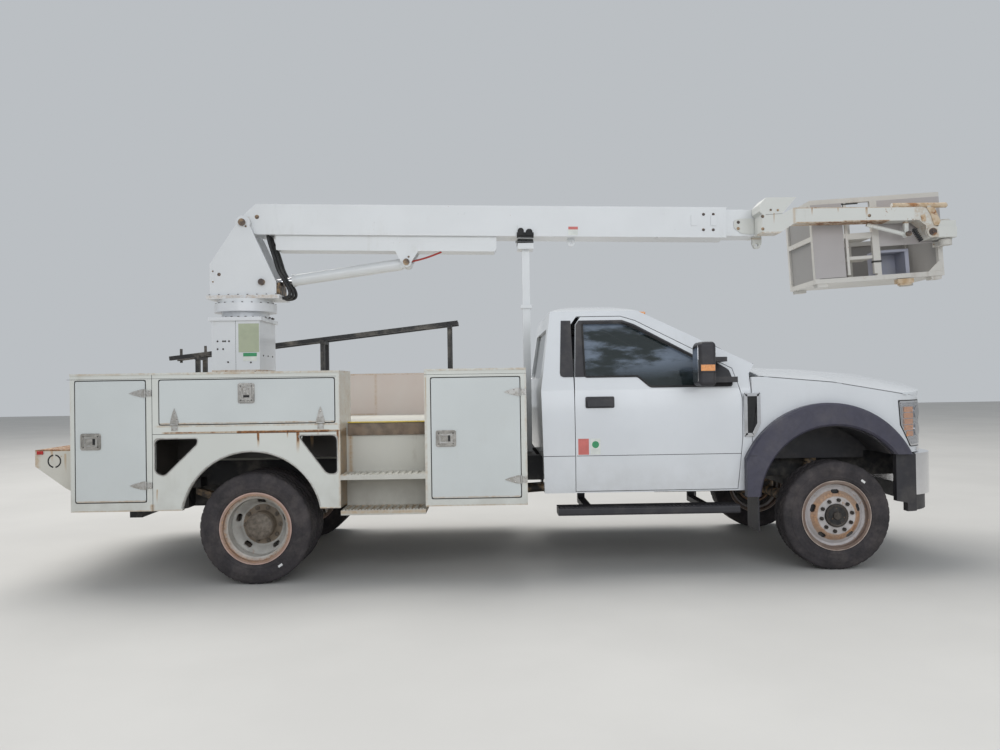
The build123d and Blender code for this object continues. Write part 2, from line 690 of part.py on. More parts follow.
# Hood sections: distance forward, height at the sides, height at the middle
HOOD_SECTIONS = (
    (HOOD_REAR, 1460, 1545),
    (WHEELBASE, 1408, 1518),
    (WHEELBASE + 500, 1318, 1474),
    (WHEELBASE + 760, 1280, 1420),
    (NOSE + 50, 1270, 1325),
)


def hood_form(drop):
    faces = []
    half = CAB_HALF
    for x, side_z, middle_z in HOOD_SECTIONS:
        low = side_z - 400 * bool(drop)
        top = ThreePointArc((half, side_z - drop), (0, middle_z - drop), (-half, side_z - drop))
        if drop:
            edge = [top, Line((-half, side_z - drop), (-half, low)), Line((-half, low), (half, low)),
                    Line((half, low), (half, side_z - drop))]
        else:
            edge = [top, Line((-half, side_z), (half, side_z))]
        plane = Plane(origin=(x, 0, 0), x_dir=(0, 1, 0), z_dir=(1, 0, 0))
        faces.append(plane * make_face(Curve() + edge))
    return loft(faces, ruled=True)


def crease_line():
    return [(x, side_z) for x, side_z, middle_z in HOOD_SECTIONS]


def fender_outline():
    crease = [(x, z - PANEL_GAP) for x, z in crease_line()]
    return polygon((FIREWALL + PANEL_GAP, CAB_FLOOR), (FIREWALL + PANEL_GAP, crease[0][1] - 2), *crease,
                   (NOSE + 60, crease[-1][1]), (NOSE + 60, BUMPER_TOP + 5), (NOSE - 400, BUMPER_TOP + 5),
                   (NOSE - 400, CAB_FLOOR))


def hood_buffer_zone():
    """The gap between a fender's top edge and the hood, less a small clearance."""
    low = [(x, side_z - PANEL_GAP - 1) for x, side_z, middle_z in HOOD_SECTIONS]
    high = [(x, side_z - SEAT_GAP) for x, side_z, middle_z in HOOD_SECTIONS]
    return across(polygon(*low, *reversed(high)), (-CAB_HALF, 0))


def lamp_zone():
    """The corner lamp as seen from the side, through to the grille."""
    side = polygon((NOSE - 357, 1262), (NOSE + 60, 1262), (NOSE + 60, 905), (NOSE - 250, 905),
                   (NOSE - 343, 1075))
    return across(side, (-CAB_HALF - 20, -GRILLE_HALF))


def mud_flap(x, y, z):
    return block((x, x + FLAP_SHEET), y, z)


def front_pieces():
    hood = (hood_form(0) & upward(plan_form(0, NOSE + 5), (900, 1700))) - hood_form(HOOD_SHEET)
    save("hood", hood)
    ring = upward(plan_form(0, NOSE), (CAB_FLOOR - 50, 1700))
    ring -= upward(plan_form(FENDER_SHEET, NOSE), (CAB_FLOOR - 60, 1710))
    skin = across(fender_outline(), (-CAB_HALF, -GRILLE_HALF)) & ring
    arch = across(Pos(ARCH_X, ARCH_Z) * Circle(ARCH_RADIUS + 25), (-CAB_HALF - 10, -500))
    fender = skin - arch
    lamp = fender & lamp_zone()
    fender = fender - lamp_zone()
    for x, side_z, middle_z in HOOD_SECTIONS[:3]:
        buffer = block((x + 40, x + 75), (-CAB_HALF + 8, -CAB_HALF + 32), (side_z - 60, side_z + 30))
        fender += buffer & hood_buffer_zone()
    save("fenders", *both_sides(fender))
    save("headlamps", *both_sides(lamp))
    grille = ring & block((NOSE - 300, NOSE + 20), (-GRILLE_HALF, GRILLE_HALF), (GRILLE_LOW, GRILLE_TOP - 20))
    clear = 40
    rows = 4
    pitch = (GRILLE_TOP - 20 - GRILLE_LOW - clear) / rows
    for row in range(rows):
        z = GRILLE_LOW + clear + row * pitch
        for low, high in ((-GRILLE_HALF + clear, -150), (-110, 110), (150, GRILLE_HALF - clear)):
            grille -= block((NOSE - 300, NOSE + 30), (low, high), (z, z + pitch - clear))
    backing = upward(plan_form(FENDER_SHEET - 4, NOSE), (GRILLE_LOW, GRILLE_TOP - 20))
    backing -= upward(plan_form(FENDER_SHEET, NOSE), (GRILLE_LOW - 1, GRILLE_TOP))
    backing &= block((NOSE - 300, NOSE), (-GRILLE_HALF, GRILLE_HALF), (GRILLE_LOW, GRILLE_TOP))
    save("grille", grille + backing)
    flare = Pos(FLARE_X, FLARE_Z) * Circle(FLARE_RADIUS) - Pos(ARCH_X, ARCH_Z) * Circle(ARCH_RADIUS)
    flare = across(flare, (-FLARE_OUT, -CAB_HALF))
    bumper_zone = (NOSE - 455, NOSE + 45)
    wheel_zone = (FIREWALL - 600, NOSE - 155)
    flare &= block((FIREWALL - 63, NOSE - 255), (-FLARE_OUT, 0), (FLARE_LOW, 1400))
    flare -= block(bumper_zone, (-FLARE_OUT - 1, 0), (0, BUMPER_TOP))
    outer_edges = flare.edges().filter_by(GeomType.CIRCLE).group_by(Axis.Y)[0]
    flare = chamfer(outer_edges, 14)
    save("wheel_flares", *both_sides(flare))
    liner = Pos(ARCH_X, ARCH_Z) * (Circle(ARCH_RADIUS - SEAT_GAP) - Circle(ARCH_RADIUS - 10))
    liner = across(liner, (-CAB_HALF, -APRON_OUT))
    apron = across(Pos(ARCH_X, ARCH_Z) * Circle(ARCH_RADIUS - SEAT_GAP), (-APRON_OUT, -APRON_OUT + FLAP_SHEET))
    liner += apron & block(wheel_zone, (-CAB_HALF, 0), (APRON_LOW, 1400))
    liner &= block(wheel_zone, (-CAB_HALF, 0), (620, 1400))
    liner -= block(bumper_zone, (-CAB_HALF - 1, 0), (0, BUMPER_TOP))
    front_flap = mud_flap(FIREWALL + 15, (-FLARE_OUT, -820), (300, FLARE_LOW))
    save("splash_guards", *both_sides(liner), *both_sides(front_flap))
    bumper_plan = upward(plan_form(-18, BUMPER_FRONT - 18), (BUMPER_LOW, BUMPER_TOP))
    bumper_hollow = upward(plan_form(40, BUMPER_FRONT - 35), (BUMPER_LOW - 1, BUMPER_TOP + 1))
    chrome_zone = (CHROME_REAR, BUMPER_FRONT + 100)
    bumper = (bumper_plan - bumper_hollow) & block(chrome_zone, (-1100, 1100), (BUMPER_LOW, BUMPER_TOP))
    for side in (-1, 1):
        tip = sorted((side * (RAIL_OUTER - RAIL_FLANGE), side * RAIL_OUTER))
        bumper += block((HORN_FRONT, BUMPER_FRONT - 60), tip, (RAIL_LOW + 20, RAIL_TOP - 60))
    save("front_bumper", bumper)
    cap = upward(plan_form(-24, BUMPER_FRONT - 24), (425, BUMPER_TOP - 4))
    cap -= upward(plan_form(30, BUMPER_FRONT - 30), (400, BUMPER_TOP + 10))
    front = CHROME_REAR - SEAT_GAP
    side = polygon((front - 164, BUMPER_TOP), (front - 164, 505), (front - 79, 490), (front - 79, 425),
                   (front, 425), (front, BUMPER_TOP))
    cap &= across(side, (-1100, 1100))
    dam = upward(plan_form(-2, BUMPER_FRONT - 30), (425, BUMPER_LOW - 0.5))
    dam -= upward(plan_form(28, BUMPER_FRONT - 60), (400, BUMPER_LOW + 10))
    dam &= block(chrome_zone, (-1100, 1100), (425, BUMPER_LOW))
    save("bumper_valance", cap, dam)


def running_boards():
    rear = FIREWALL - 1470
    board = block((rear, rear + 1354), (-1075, -880), (440, 500))
    board = fillet(board.edges().filter_by(Axis.X), 16)
    for x in (rear + 235, rear + 1135):
        bracket = block((x - 30, x + 30), (-900, -RAIL_OUTER), (452, 492))
        upright = block((x - 30, x + 30), (-RAIL_OUTER - 20, -RAIL_OUTER), (452, RAIL_LOW + 60))
        board += bracket + upright
    return board


# Service body
# Compartment doors of one side: name, x limits, z limits, edge that carries the hinges,
# places of the hinges along that edge, (x, z) of the latch
DOORS_RIGHT = (
    ("rear", (BODY_REAR + 39, WELL_REAR - 54), (BODY_LOW + 69, BODY_TOP - 55), "front", (735, 1400),
     (BODY_REAR + 149, 1056)),
    ("over_wheel", (WELL_REAR + 48, WELL_FRONT - 37), (WELL_TOP + 66, BODY_TOP - 55), "bottom",
     (WELL_REAR + 156, WELL_FRONT - 137), (-42, 1390)),
    ("front", (STEP_FRONT + 49, BODY_FRONT - 49), (BODY_LOW + 58, BODY_TOP - 67), "front", (735, 1370),
     (STEP_FRONT + 153, 1040)),
)
DOORS_LEFT = DOORS_RIGHT + (
    ("middle", (WELL_FRONT + 50, STEP_FRONT - 50), (BODY_LOW + 58, BODY_TOP - 67), "front", (735, 1370),
     (WELL_FRONT + 153, 1040)),
)
HINGE_RADIUS = 7
HINGE_OUT = BODY_HALF + DOOR_PROUD + 8
HINGE_OFF = PANEL_GAP / 2
HINGE_HALF = 30
HINGE_MIDDLE = 10
LATCH_SIZE = (118, 84)


def strap_hinge(part):
    """One strap hinge about its pin: the door's strap to -X, or the frame's short leaf to +X."""
    tall = HINGE_HALF
    notch = HINGE_MIDDLE + SEAT_GAP
    root = HINGE_RADIUS + 2
    if part == "door":
        strap = polygon((-118, 0), (-88, 13), (-22, tall), (0, tall), (0, notch), (-root, notch),
                        (-root, -notch), (0, -notch), (0, -tall), (-22, -tall), (-88, -13))
        leaf = across(strap, (-HINGE_OUT + 3, -BODY_HALF - DOOR_PROUD))
        for low, high in ((-tall, -notch), (notch, tall)):
            leaf += bar_z(0, -HINGE_OUT, HINGE_RADIUS, (low, high))
        return leaf
    plate = polygon((0, -HINGE_MIDDLE), (0, HINGE_MIDDLE), (9, HINGE_MIDDLE), (14, 22), (44, 22),
                    (44, -22), (14, -22), (9, -HINGE_MIDDLE))
    leaf = across(plate, (-HINGE_OUT + 3, -BODY_HALF))
    return leaf + bar_z(0, -HINGE_OUT, HINGE_RADIUS, (-HINGE_MIDDLE, HINGE_MIDDLE))


def place_hinge(part, x, z, edge, along_edge):
    if edge == "front":
        return Pos(x[1] + HINGE_OFF, 0, along_edge) * strap_hinge(part)
    return Pos(along_edge, 0, z[0] - HINGE_OFF) * Rot(0, 90, 0) * strap_hinge(part)


def compartment_door(x, z, edge, hinges, latch):
    """A flat door with a hollow back, its hinge straps and its latch, made for the right side."""
    outer = -BODY_HALF - DOOR_PROUD
    door = block(x, (outer, outer + DOOR_SHEET), z)
    door = fillet(door.edges().filter_by(Axis.Y), 14)
    rim_width = 26
    hollow = block((x[0] + rim_width, x[1] - rim_width), (outer + 8, outer + DOOR_SHEET + 1),
                   (z[0] + rim_width, z[1] - rim_width))
    door = door - hollow
    for place in hinges:
        door += place_hinge("door", x, z, edge, place)
    size = LATCH_SIZE if edge == "front" else (LATCH_SIZE[1], LATCH_SIZE[0])
    plate = Pos(*latch) * RectangleRounded(*size, 14)
    well = Pos(*latch) * RectangleRounded(size[0] - 32, size[1] - 32, 8)
    door += across(plate, (outer - 7, outer))
    return door - across(well, (outer - 8, outer - 3))


def box_shell(x, z):
    """A closed sheet box of the body's side, made for the right side."""
    wall = BODY_SHEET
    outer = block(x, (-BODY_HALF, -BODY_INNER), z)
    inner = block((x[0] + wall, x[1] - wall), (-BODY_HALF + wall, -BODY_INNER - wall),
                  (z[0] + wall, z[1] - wall))
    return outer - inner


# The rounded cut-outs above the wheel arch, behind it and ahead of it
CORNER_WINDOWS = (
    ((-702, 1066), (-400, 1066), (-402, 1030), (-640, 800), (-702, 830)),
    ((604, 1076), (332, 1076), (362, 1030), (532, 800), (604, 800)),
)


def body_side(doors, left):
    side = box_shell((BODY_REAR, WELL_REAR), (BODY_LOW, BODY_TOP))
    side += box_shell((WELL_REAR - BODY_SHEET, WELL_FRONT), (WELL_TOP, BODY_TOP))
    side += box_shell((STEP_FRONT, BODY_FRONT), (BODY_LOW, BODY_TOP))
    if left:
        side += box_shell((WELL_FRONT - BODY_SHEET, STEP_FRONT + BODY_SHEET), (BODY_LOW, BODY_TOP))
    else:
        side += block((WELL_FRONT - BODY_SHEET, WELL_FRONT), (-BODY_HALF, -BODY_INNER),
                      (BODY_LOW, WELL_TOP + BODY_SHEET))
        side += block((WELL_FRONT - BODY_SHEET, STEP_FRONT + BODY_SHEET),
                      (-BODY_INNER - BODY_SHEET, -BODY_INNER),
                      (DECK_TOP - DECK_SHEET - 60, DECK_TOP - DECK_SHEET))
    outer_skin = (-BODY_HALF, -BODY_HALF + BODY_SHEET)
    panel = block((WELL_REAR - BODY_SHEET, WELL_FRONT), outer_skin, (BODY_LOW, WELL_TOP + BODY_SHEET))
    for window in CORNER_WINDOWS:
        panel -= across(rounded(window, 22), (-BODY_HALF - 10, -BODY_HALF + 60))
    side += panel
    side += block((WELL_REAR - BODY_SHEET, WELL_FRONT), (-BODY_INNER - BODY_SHEET, -BODY_INNER),
                  (HOUSE_LOW, WELL_TOP + BODY_SHEET))
    side -= across(Pos(BODY_ARCH_X, BODY_ARCH_Z) * Circle(BODY_ARCH_RADIUS), (-BODY_HALF - 10, -BODY_HALF + 60))
    lip = Circle(BODY_ARCH_RADIUS) - Circle(BODY_ARCH_RADIUS - 12)
    lip = across(Pos(BODY_ARCH_X, BODY_ARCH_Z) * lip, (-BODY_HALF, -BODY_HALF + 40))
    side += lip & block((-700, 620), (-BODY_HALF - 1, -BODY_HALF + 60), (BODY_LOW, 1200))
    for name, x, z, edge, hinges, latch in doors:
        gap = PANEL_GAP
        side -= block((x[0] - gap, x[1] + gap), (-BODY_HALF - 10, -BODY_HALF + BODY_SHEET + 1),
                      (z[0] - gap, z[1] + gap))
    rail = block((BODY_REAR, WELL_FRONT), (-BODY_HALF - 6, -BODY_HALF), (BODY_TOP - 14, BODY_TOP))
    rail += block((STEP_FRONT, BODY_FRONT), (-BODY_HALF - 6, -BODY_HALF), (BODY_TOP - 14, BODY_TOP))
    for name, x, z, edge, hinges, latch in doors:
        for place in hinges:
            rail += place_hinge("frame", x, z, edge, place)
    return side + rail


def body_deck():
    inner = BODY_INNER
    sheet = (DECK_TOP - DECK_SHEET, DECK_TOP)
    deck = block((BODY_REAR, BODY_FRONT), (-inner, inner), sheet)
    deck += block((WELL_FRONT, STEP_FRONT), (-BODY_HALF + 300, -inner), sheet)
    for side in (-1, 1):
        sill = sorted((side * (RAIL_OUTER - RAIL_FLANGE), side * RAIL_OUTER))
        deck += block((BODY_REAR, BODY_FRONT), sill, (RAIL_TOP, sheet[0]))
    for x in (BODY_REAR + 129, -780, 560, 1000, BODY_FRONT - 481, BODY_FRONT - 51):
        deck += block((x - 25, x + 25), (-inner, inner), (sheet[0] - 90, sheet[0]))
    deck += block((BODY_FRONT - 40, BODY_FRONT), (-inner, inner), (DECK_TOP, BODY_TOP))
    deck += block((BODY_REAR, BODY_REAR + 30), (-inner, inner), (DECK_TOP - 300, DECK_TOP))
    hole = PEDESTAL_HALF + 1
    middle = SLEW_X + PEDESTAL_SHIFT
    half_length = PEDESTAL_LENGTH / 2 + 1
    deck -= block((middle - half_length, middle + half_length), (-hole, hole), (RAIL_TOP - 10, DECK_TOP + 10))
    return deck


def access_steps():
    """The steps between the right-hand boxes: a riser and two gripped treads."""
    x = (WELL_FRONT, STEP_FRONT)
    riser_y = -BODY_HALF + 300
    steps = block(x, (riser_y - 12, riser_y), (505, DECK_TOP))
    for top in (530, 785):
        tread = block(x, (-BODY_HALF, riser_y), (top - 34, top))
        for tooth in range(12):
            start = x[0] + 20 + tooth * 48
            tread -= block((start, start + 26), (-BODY_HALF + 12, riser_y - 30), (top - 8, top + 1))
        steps += tread
    return steps


def tail_shelf():
    """The step bumper behind the body, a folded sheet with closed ends."""
    reach = -TAIL_REACH
    wall = 18
    outer = [(BODY_REAR, 659), (-1405, 715), (reach, 875), (reach, 995), (BODY_REAR, 995)]
    inner = [(BODY_REAR + 1, 659 + wall * 1.4), (-1411, 715 + wall), (reach + wall, 875 + wall * 0.6),
             (reach + wall, 995 - wall), (BODY_REAR + 1, 995 - wall)]
    return across(polygon(*outer), (-1100, 1100)) - across(polygon(*inner), (-1100 + wall, 1100 - wall))


def ladder_rack():
    """The sloping ladder rack on the left-hand boxes."""
    low_end = (-1400, 1725)
    high_end = (1417, 2038)
    slope = (high_end[1] - low_end[1]) / (high_end[0] - low_end[0])
    width = 40
    rack = None
    for y in (940, 1150):
        rail = tube_box((low_end[0], y, low_end[1]), (high_end[0], y, high_end[1]), width)
        rack = rail if rack is None else rack + rail
    for x in (-1127, 90, 1333):
        top = low_end[1] + slope * (x - low_end[0])
        for y in (940, 1150):
            rack += block((x - 20, x + 20), (y - 20, y + 20), (BODY_TOP, top))
        rack += block((x - 20, x + 20), (900, 1170), (top - 45, top - 5))
    for x in (-1370, -1127):
        top = low_end[1] + slope * (x - low_end[0])
        rack += block((x - 12, x + 12), (1158, 1170), (top - 40, top + 100))
    return rack


def service_body():
    save("body_side_right", body_side(DOORS_RIGHT, False))
    save("body_side_left", other_side(body_side(DOORS_LEFT, True)))
    for name, *layout in DOORS_RIGHT:
        save(f"box_door_{name}_right", compartment_door(*layout))
    for name, *layout in DOORS_LEFT:
        save(f"box_door_{name}_left", other_side(compartment_door(*layout)))
    save("body_deck", body_deck())
    save("access_steps", access_steps())
    save("tail_shelf", tail_shelf())
    lamp = block((BODY_REAR - 22, BODY_REAR), (-1160, -1000), (1120, 1220))
    lamp = fillet(lamp.edges().filter_by(Axis.X), 20)
    save("tail_lamps", *both_sides(lamp))
    save("ladder_rack", ladder_rack())


# Pedestal, turret, boom and basket
def pedestal():
    middle = SLEW_X + PEDESTAL_SHIFT
    x = (middle - PEDESTAL_LENGTH / 2, middle + PEDESTAL_LENGTH / 2)
    sheet = PEDESTAL_SHEET
    lip = CAP_OVERHANG
    column = block(x, (-PEDESTAL_HALF, PEDESTAL_HALF), (RAIL_TOP, PEDESTAL_TOP))
    column -= block((x[0] + sheet, x[1] - sheet), (-PEDESTAL_HALF + sheet, PEDESTAL_HALF - sheet),
                    (RAIL_TOP + 200, PEDESTAL_TOP + 1))
    column += block((x[0] - lip, x[1] + lip), (-PEDESTAL_HALF - lip, PEDESTAL_HALF + lip),
                    (PEDESTAL_TOP, CAP_TOP))
    column += bar_z(SLEW_X, 0, NECK_RADIUS, (CAP_TOP, NECK_TOP))
    return column + bar_z(SLEW_X, 0, RING_RADIUS, (NECK_TOP, RING_TOP))


def turret():
    outer = TURRET_INNER + TURRET_SHEET
    base = bar_z(SLEW_X, 0, TURRET_RING_RADIUS, (RING_TOP + RING_GAP, TURRET_RING_TOP))
    base += block((-664, -49), (-outer - 22, outer + 22), (TURRET_RING_TOP, TURRET_BASE_TOP))
    side = polygon((-640, TURRET_BASE_TOP), (-640, 2479), (-407, 2825), (LUFF_X, LUFF_Z + 20), (-298, 2805),
                   (-80, 2323), (-80, TURRET_BASE_TOP))
    side = side + Pos(LUFF_X, LUFF_Z) * Circle(62)
    for y in ((-outer, -TURRET_INNER), (TURRET_INNER, outer)):
        base += across(side, y)
    back = polygon((-640, TURRET_BASE_TOP), (-640, 2479), (-540, 2627), (-518, 2612), (-618, 2472),
                   (-618, TURRET_BASE_TOP))
    base += across(back, (-TURRET_INNER, TURRET_INNER))
    base += bar_y(LUFF_X, LUFF_Z, LUFF_PIN, (-outer - 18, outer + 18))
    foot_x, foot_z = LIFT_FOOT
    for y in ((-outer - 16, -42), (42, outer + 16)):
        base += bar_y(foot_x, foot_z, LIFT_PIN, y)
    return base


def laid(shape):
    """Turns a piece that is drawn level onto the boom's line, which drops forward from its pin."""
    return Pos(LUFF_X, 0, LUFF_Z) * Rot(0, BOOM_SLOPE, 0) * Pos(-LUFF_X, 0, -LUFF_Z) * shape


def laid_point(x, z):
    turn = radians(BOOM_SLOPE)
    ahead, above = x - LUFF_X, z - LUFF_Z
    return LUFF_X + ahead * cos(turn) + above * sin(turn), LUFF_Z - ahead * sin(turn) + above * cos(turn)


def boom():
    y = (-BOOM_HALF, BOOM_HALF)
    sheet = BOOM_SHEET
    outline = polygon((BOOM_REAR - 75, BOOM_TOP - 106), (BOOM_REAR - 15, BOOM_TOP), (BOOM_FRONT, BOOM_TOP),
                      (BOOM_FRONT, BOOM_LOW), (BOOM_REAR, BOOM_LOW))
    tube = across(outline, y)
    tube -= block((BOOM_REAR + 60, BOOM_FRONT + 1), (y[0] + sheet, y[1] - sheet),
                  (BOOM_LOW + sheet, BOOM_TOP - sheet))
    root = polygon((BOOM_REAR, BOOM_LOW), (BOOM_REAR - 15, BOOM_TOP), (LUFF_X - 20, LUFF_Z + 60),
                   (LUFF_X - 62, LUFF_Z), (LUFF_X, LUFF_Z - 64))
    tube += across(root + Pos(LUFF_X, LUFF_Z) * Circle(64), y)
    tube -= bar_y(LUFF_X, LUFF_Z, LUFF_PIN + RUN_FIT, (-200, 200))
    keel = polygon((-97, BOOM_LOW), (-92, KEEL_LOW + 5), (-80, KEEL_LOW), (KEEL_FRONT - 18, KEEL_LOW),
                   (KEEL_FRONT, KEEL_LOW + 25), (KEEL_FRONT, BOOM_LOW))
    tube += across(keel, (-KEEL_HALF, KEEL_HALF))
    head_x, head_z = LIFT_HEAD
    cheek = polygon((head_x - 97, KEEL_LOW), (head_x - 45, head_z), (head_x + 42, head_z),
                    (head_x + 99, KEEL_LOW))
    cheek = cheek + Pos(head_x, head_z) * Circle(42)
    for side in ((-KEEL_HALF, -70), (70, KEEL_HALF)):
        tube += across(cheek, side)
    tube += bar_y(head_x, head_z, LIFT_PIN, (-108, 108))
    mouth = (BOOM_FRONT - 80, BOOM_FRONT)
    pad = SLIDE_GAP - PAD_GAP
    inner_y = BOOM_HALF - sheet
    tube += block(mouth, (-90, 90), (BOOM_LOW + sheet, BOOM_LOW + sheet + pad))
    tube += block(mouth, (-90, 90), (BOOM_TOP - sheet - pad, BOOM_TOP - sheet))
    for side in (-1, 1):
        reach = sorted((side * inner_y, side * (inner_y - pad)))
        tube += block(mouth, reach, (BOOM_LOW + 60, BOOM_TOP - 60))
    eye_z = BOOM_LOW - 35
    eye = across(Pos(EYE_X, eye_z) * Circle(32), (-12, 12))
    eye += block((EYE_X - 32, EYE_X + 32), (-12, 12), (eye_z, BOOM_LOW + 1))
    tube += eye - bar_y(EYE_X, eye_z, EYE_RADIUS, (-20, 20))
    for back in (305, 135):
        x = (BOOM_FRONT - back, BOOM_FRONT - back + 50)
        tube += block(x, (-BOOM_HALF - 6, -BOOM_HALF), (BOOM_LOW + 100, BOOM_LOW + 190))
    return tube


def boom_collar():
    """The collar where the boom lies on its rest."""
    x = COLLAR_X
    collar = block(x, (-BOOM_HALF - 15, BOOM_HALF + 15), (BOOM_LOW - COLLAR_DEPTH, BOOM_LOW + 95))
    return collar - block((x[0] - 1, x[1] + 1), (-BOOM_HALF, BOOM_HALF), (BOOM_LOW, BOOM_LOW + 96))


def boom_rest():
    """The post ahead of the body: the boom's collar lies above its head, with room for a rubber pad."""
    low = laid_point(COLLAR_X[1], BOOM_LOW - COLLAR_DEPTH)[1] - RING_GAP - REST_PAD
    post = block((REST_X - 32, REST_X + 32), (-32, 32), (RAIL_TOP, low - 65))
    post += block((REST_X - 48, REST_X + 48), (-48, 48), (2080, 2112))
    return post + block((REST_X - 70, REST_X + 66), (-90, 90), (low - 65, low))


def extension():
    sheet = BOOM_SHEET
    half = BOOM_HALF - sheet - SLIDE_GAP
    low = BOOM_LOW + sheet + SLIDE_GAP
    top = BOOM_TOP - sheet - SLIDE_GAP
    x = (EXTENSION_REAR, EXTENSION_FRONT)
    tube = block(x, (-half, half), (low, top))
    tube -= block((x[0] - 1, x[1] - 30), (-half + 8, half - 8), (low + 8, top - 8))
    pad = SLIDE_GAP - PAD_GAP
    tail = (x[0], x[0] + 90)
    tube += block(tail, (-90, 90), (low - pad, low)) + block(tail, (-90, 90), (top, top + pad))
    for side in (-1, 1):
        reach = sorted((side * half, side * (half + pad)))
        tube += block(tail, reach, (low + 50, top - 50))
    return tube


def tip_arm():
    """The offset arm on the extension's tip: a plate, the side arm, its guard and its leveling lug."""
    front = EXTENSION_FRONT
    plate = laid(block((front, front + 30), (ARM_NEAR, 113), (BOOM_LOW + 17, BOOM_TOP - 17)))
    eye_x, eye_z = TIP_EYE
    lug = polygon((eye_x - 40, 2700), (eye_x - 40, eye_z + 10), (eye_x - 20, eye_z - 30),
                  (eye_x + 20, eye_z - 30), (eye_x + 40, eye_z + 10), (eye_x + 40, 2700))
    lug = across(lug, (-40, 0)) - bar_y(eye_x, eye_z, TIP_EYE_RADIUS, (-60, 20))
    level_top = LEVEL_Z + 204
    web = polygon((front, 2656), (front, 2809), (front + 171, 2817), (front + 267, 2868),
                  (LEVEL_X - 80, level_top + 10), (LEVEL_X - 40, level_top), (LEVEL_X + 43, level_top),
                  (LEVEL_X + 43, LEVEL_Z + 56), (LEVEL_X + LEVEL_LUG - 4, LEVEL_Z),
                  (LEVEL_X - LEVEL_LUG + 4, LEVEL_Z), (LEVEL_X - 44, LEVEL_Z + 56),
                  (LEVEL_X - 105, LEVEL_Z + 104), (front + 267, 2737), (front + 147, 2656))
    arm = across(web + Pos(LEVEL_X, LEVEL_Z) * Circle(LEVEL_LUG), (ARM_NEAR, ARM_FAR))
    arm -= block((front + 310, LEVEL_X - 115), (ARM_NEAR + 10, ARM_FAR - 10),
                 (level_top - 87, level_top - 2))
    arm -= bar_y(LEVEL_X, LEVEL_Z, LEVEL_PIN + RUN_FIT, (-500, 0))
    guard = polygon((front - 21, 2897), (front + 35, 2956), (front + 291, 2956), (front + 171, 2820),
                    (front + 4, 2812), (front - 21, 2840))
    cover = across(guard, (ARM_NEAR, -125))
    strut_x, strut_z = LEVEL_X - 183, LEVEL_Z - 7
    strut = rod((strut_x - 332, ARM_Y, strut_z + 89), (strut_x, ARM_Y, strut_z), 17)
    strut += bar_y(strut_x, strut_z, 24, (ARM_Y - 26, ARM_Y + 26))
    strut += block((strut_x - 17, strut_x + 17), (ARM_Y - 17, ARM_Y + 17), (strut_z, LEVEL_Z + 122))
    rotator_y, rotator_z = ARM_NEAR + 30, LEVEL_Z + 232
    rotator = rod((LEVEL_X - 320, rotator_y, rotator_z), (LEVEL_X + 145, rotator_y, rotator_z), 20)
    for back in (295, 25):
        rotator += block((LEVEL_X - back, LEVEL_X - back + 30), (rotator_y - 20, rotator_y + 20),
                         (level_top - 5, rotator_z + 5))
    return plate + lug + arm + cover + strut + rotator


def lift_direction():
    head_x, head_z = laid_point(*LIFT_HEAD)
    reach_x = LIFT_FOOT[0] - head_x
    reach_z = LIFT_FOOT[1] - head_z
    return hypot(reach_x, reach_z), degrees(atan2(reach_z, reach_x))


def along_lift(shape):
    """Turns a piece that is made along +X from the head pin onto the cylinder's line."""
    head_x, head_z = laid_point(*LIFT_HEAD)
    return Pos(head_x, 0, head_z) * Rot(0, -lift_direction()[1], 0) * shape


def bar_x(radius, x):
    return Pos((x[0] + x[1]) / 2, 0, 0) * Rot(0, 90, 0) * Cylinder(radius, x[1] - x[0])


def lift_barrel():
    barrel = bar_x(LIFT_BARREL_RADIUS, (50, 1003)) + bar_x(LIFT_BARREL_RADIUS + 6, (975, 1003))
    barrel -= bar_x(LIFT_BARREL_RADIUS - 10, (70, 975)) + bar_x(LIFT_ROD_RADIUS + RUN_FIT, (970, 1010))
    barrel += bar_y(0, 0, 42, (-60, 60)) + block((0, 60), (-50, 50), (-36, 36))
    barrel -= bar_y(0, 0, LIFT_PIN + RUN_FIT, (-80, 80))
    return along_lift(barrel)


def lift_rod():
    length = lift_direction()[0]
    shaft = bar_x(LIFT_ROD_RADIUS, (100, length - 40))
    piston = bar_x(LIFT_BARREL_RADIUS - 10 - PAD_GAP, (85, 125))
    eye = bar_y(length, 0, 46, (-32, 32)) - bar_y(length, 0, LIFT_PIN + 1, (-40, 40))
    return along_lift(shaft + piston + eye)


def jib_head():
    """The bracket that keeps the basket level, with the socket that it turns on."""
    x = (LEVEL_X + LEVEL_LUG + 8, REACH_FRONT)
    low, high = HEAD_LOW, HEAD_TOP
    head = block(x, (ARM_NEAR - 5, ARM_FAR + 5), (low, high))
    for y in ((ARM_NEAR - 20, ARM_NEAR - 5), (ARM_FAR + 5, ARM_FAR + 20)):
        head += across(Pos(LEVEL_X, LEVEL_Z) * Circle(46), y)
        head += block((LEVEL_X, x[1]), y, (LEVEL_Z - 44, LEVEL_Z + 44))
    head += bar_y(LEVEL_X, LEVEL_Z, LEVEL_PIN, (ARM_NEAR - 20, ARM_FAR + 20))
    head -= bar_z(TURN_X, ARM_Y, TURN_PIN + RUN_FIT, (low - 5, high + 5))
    return head


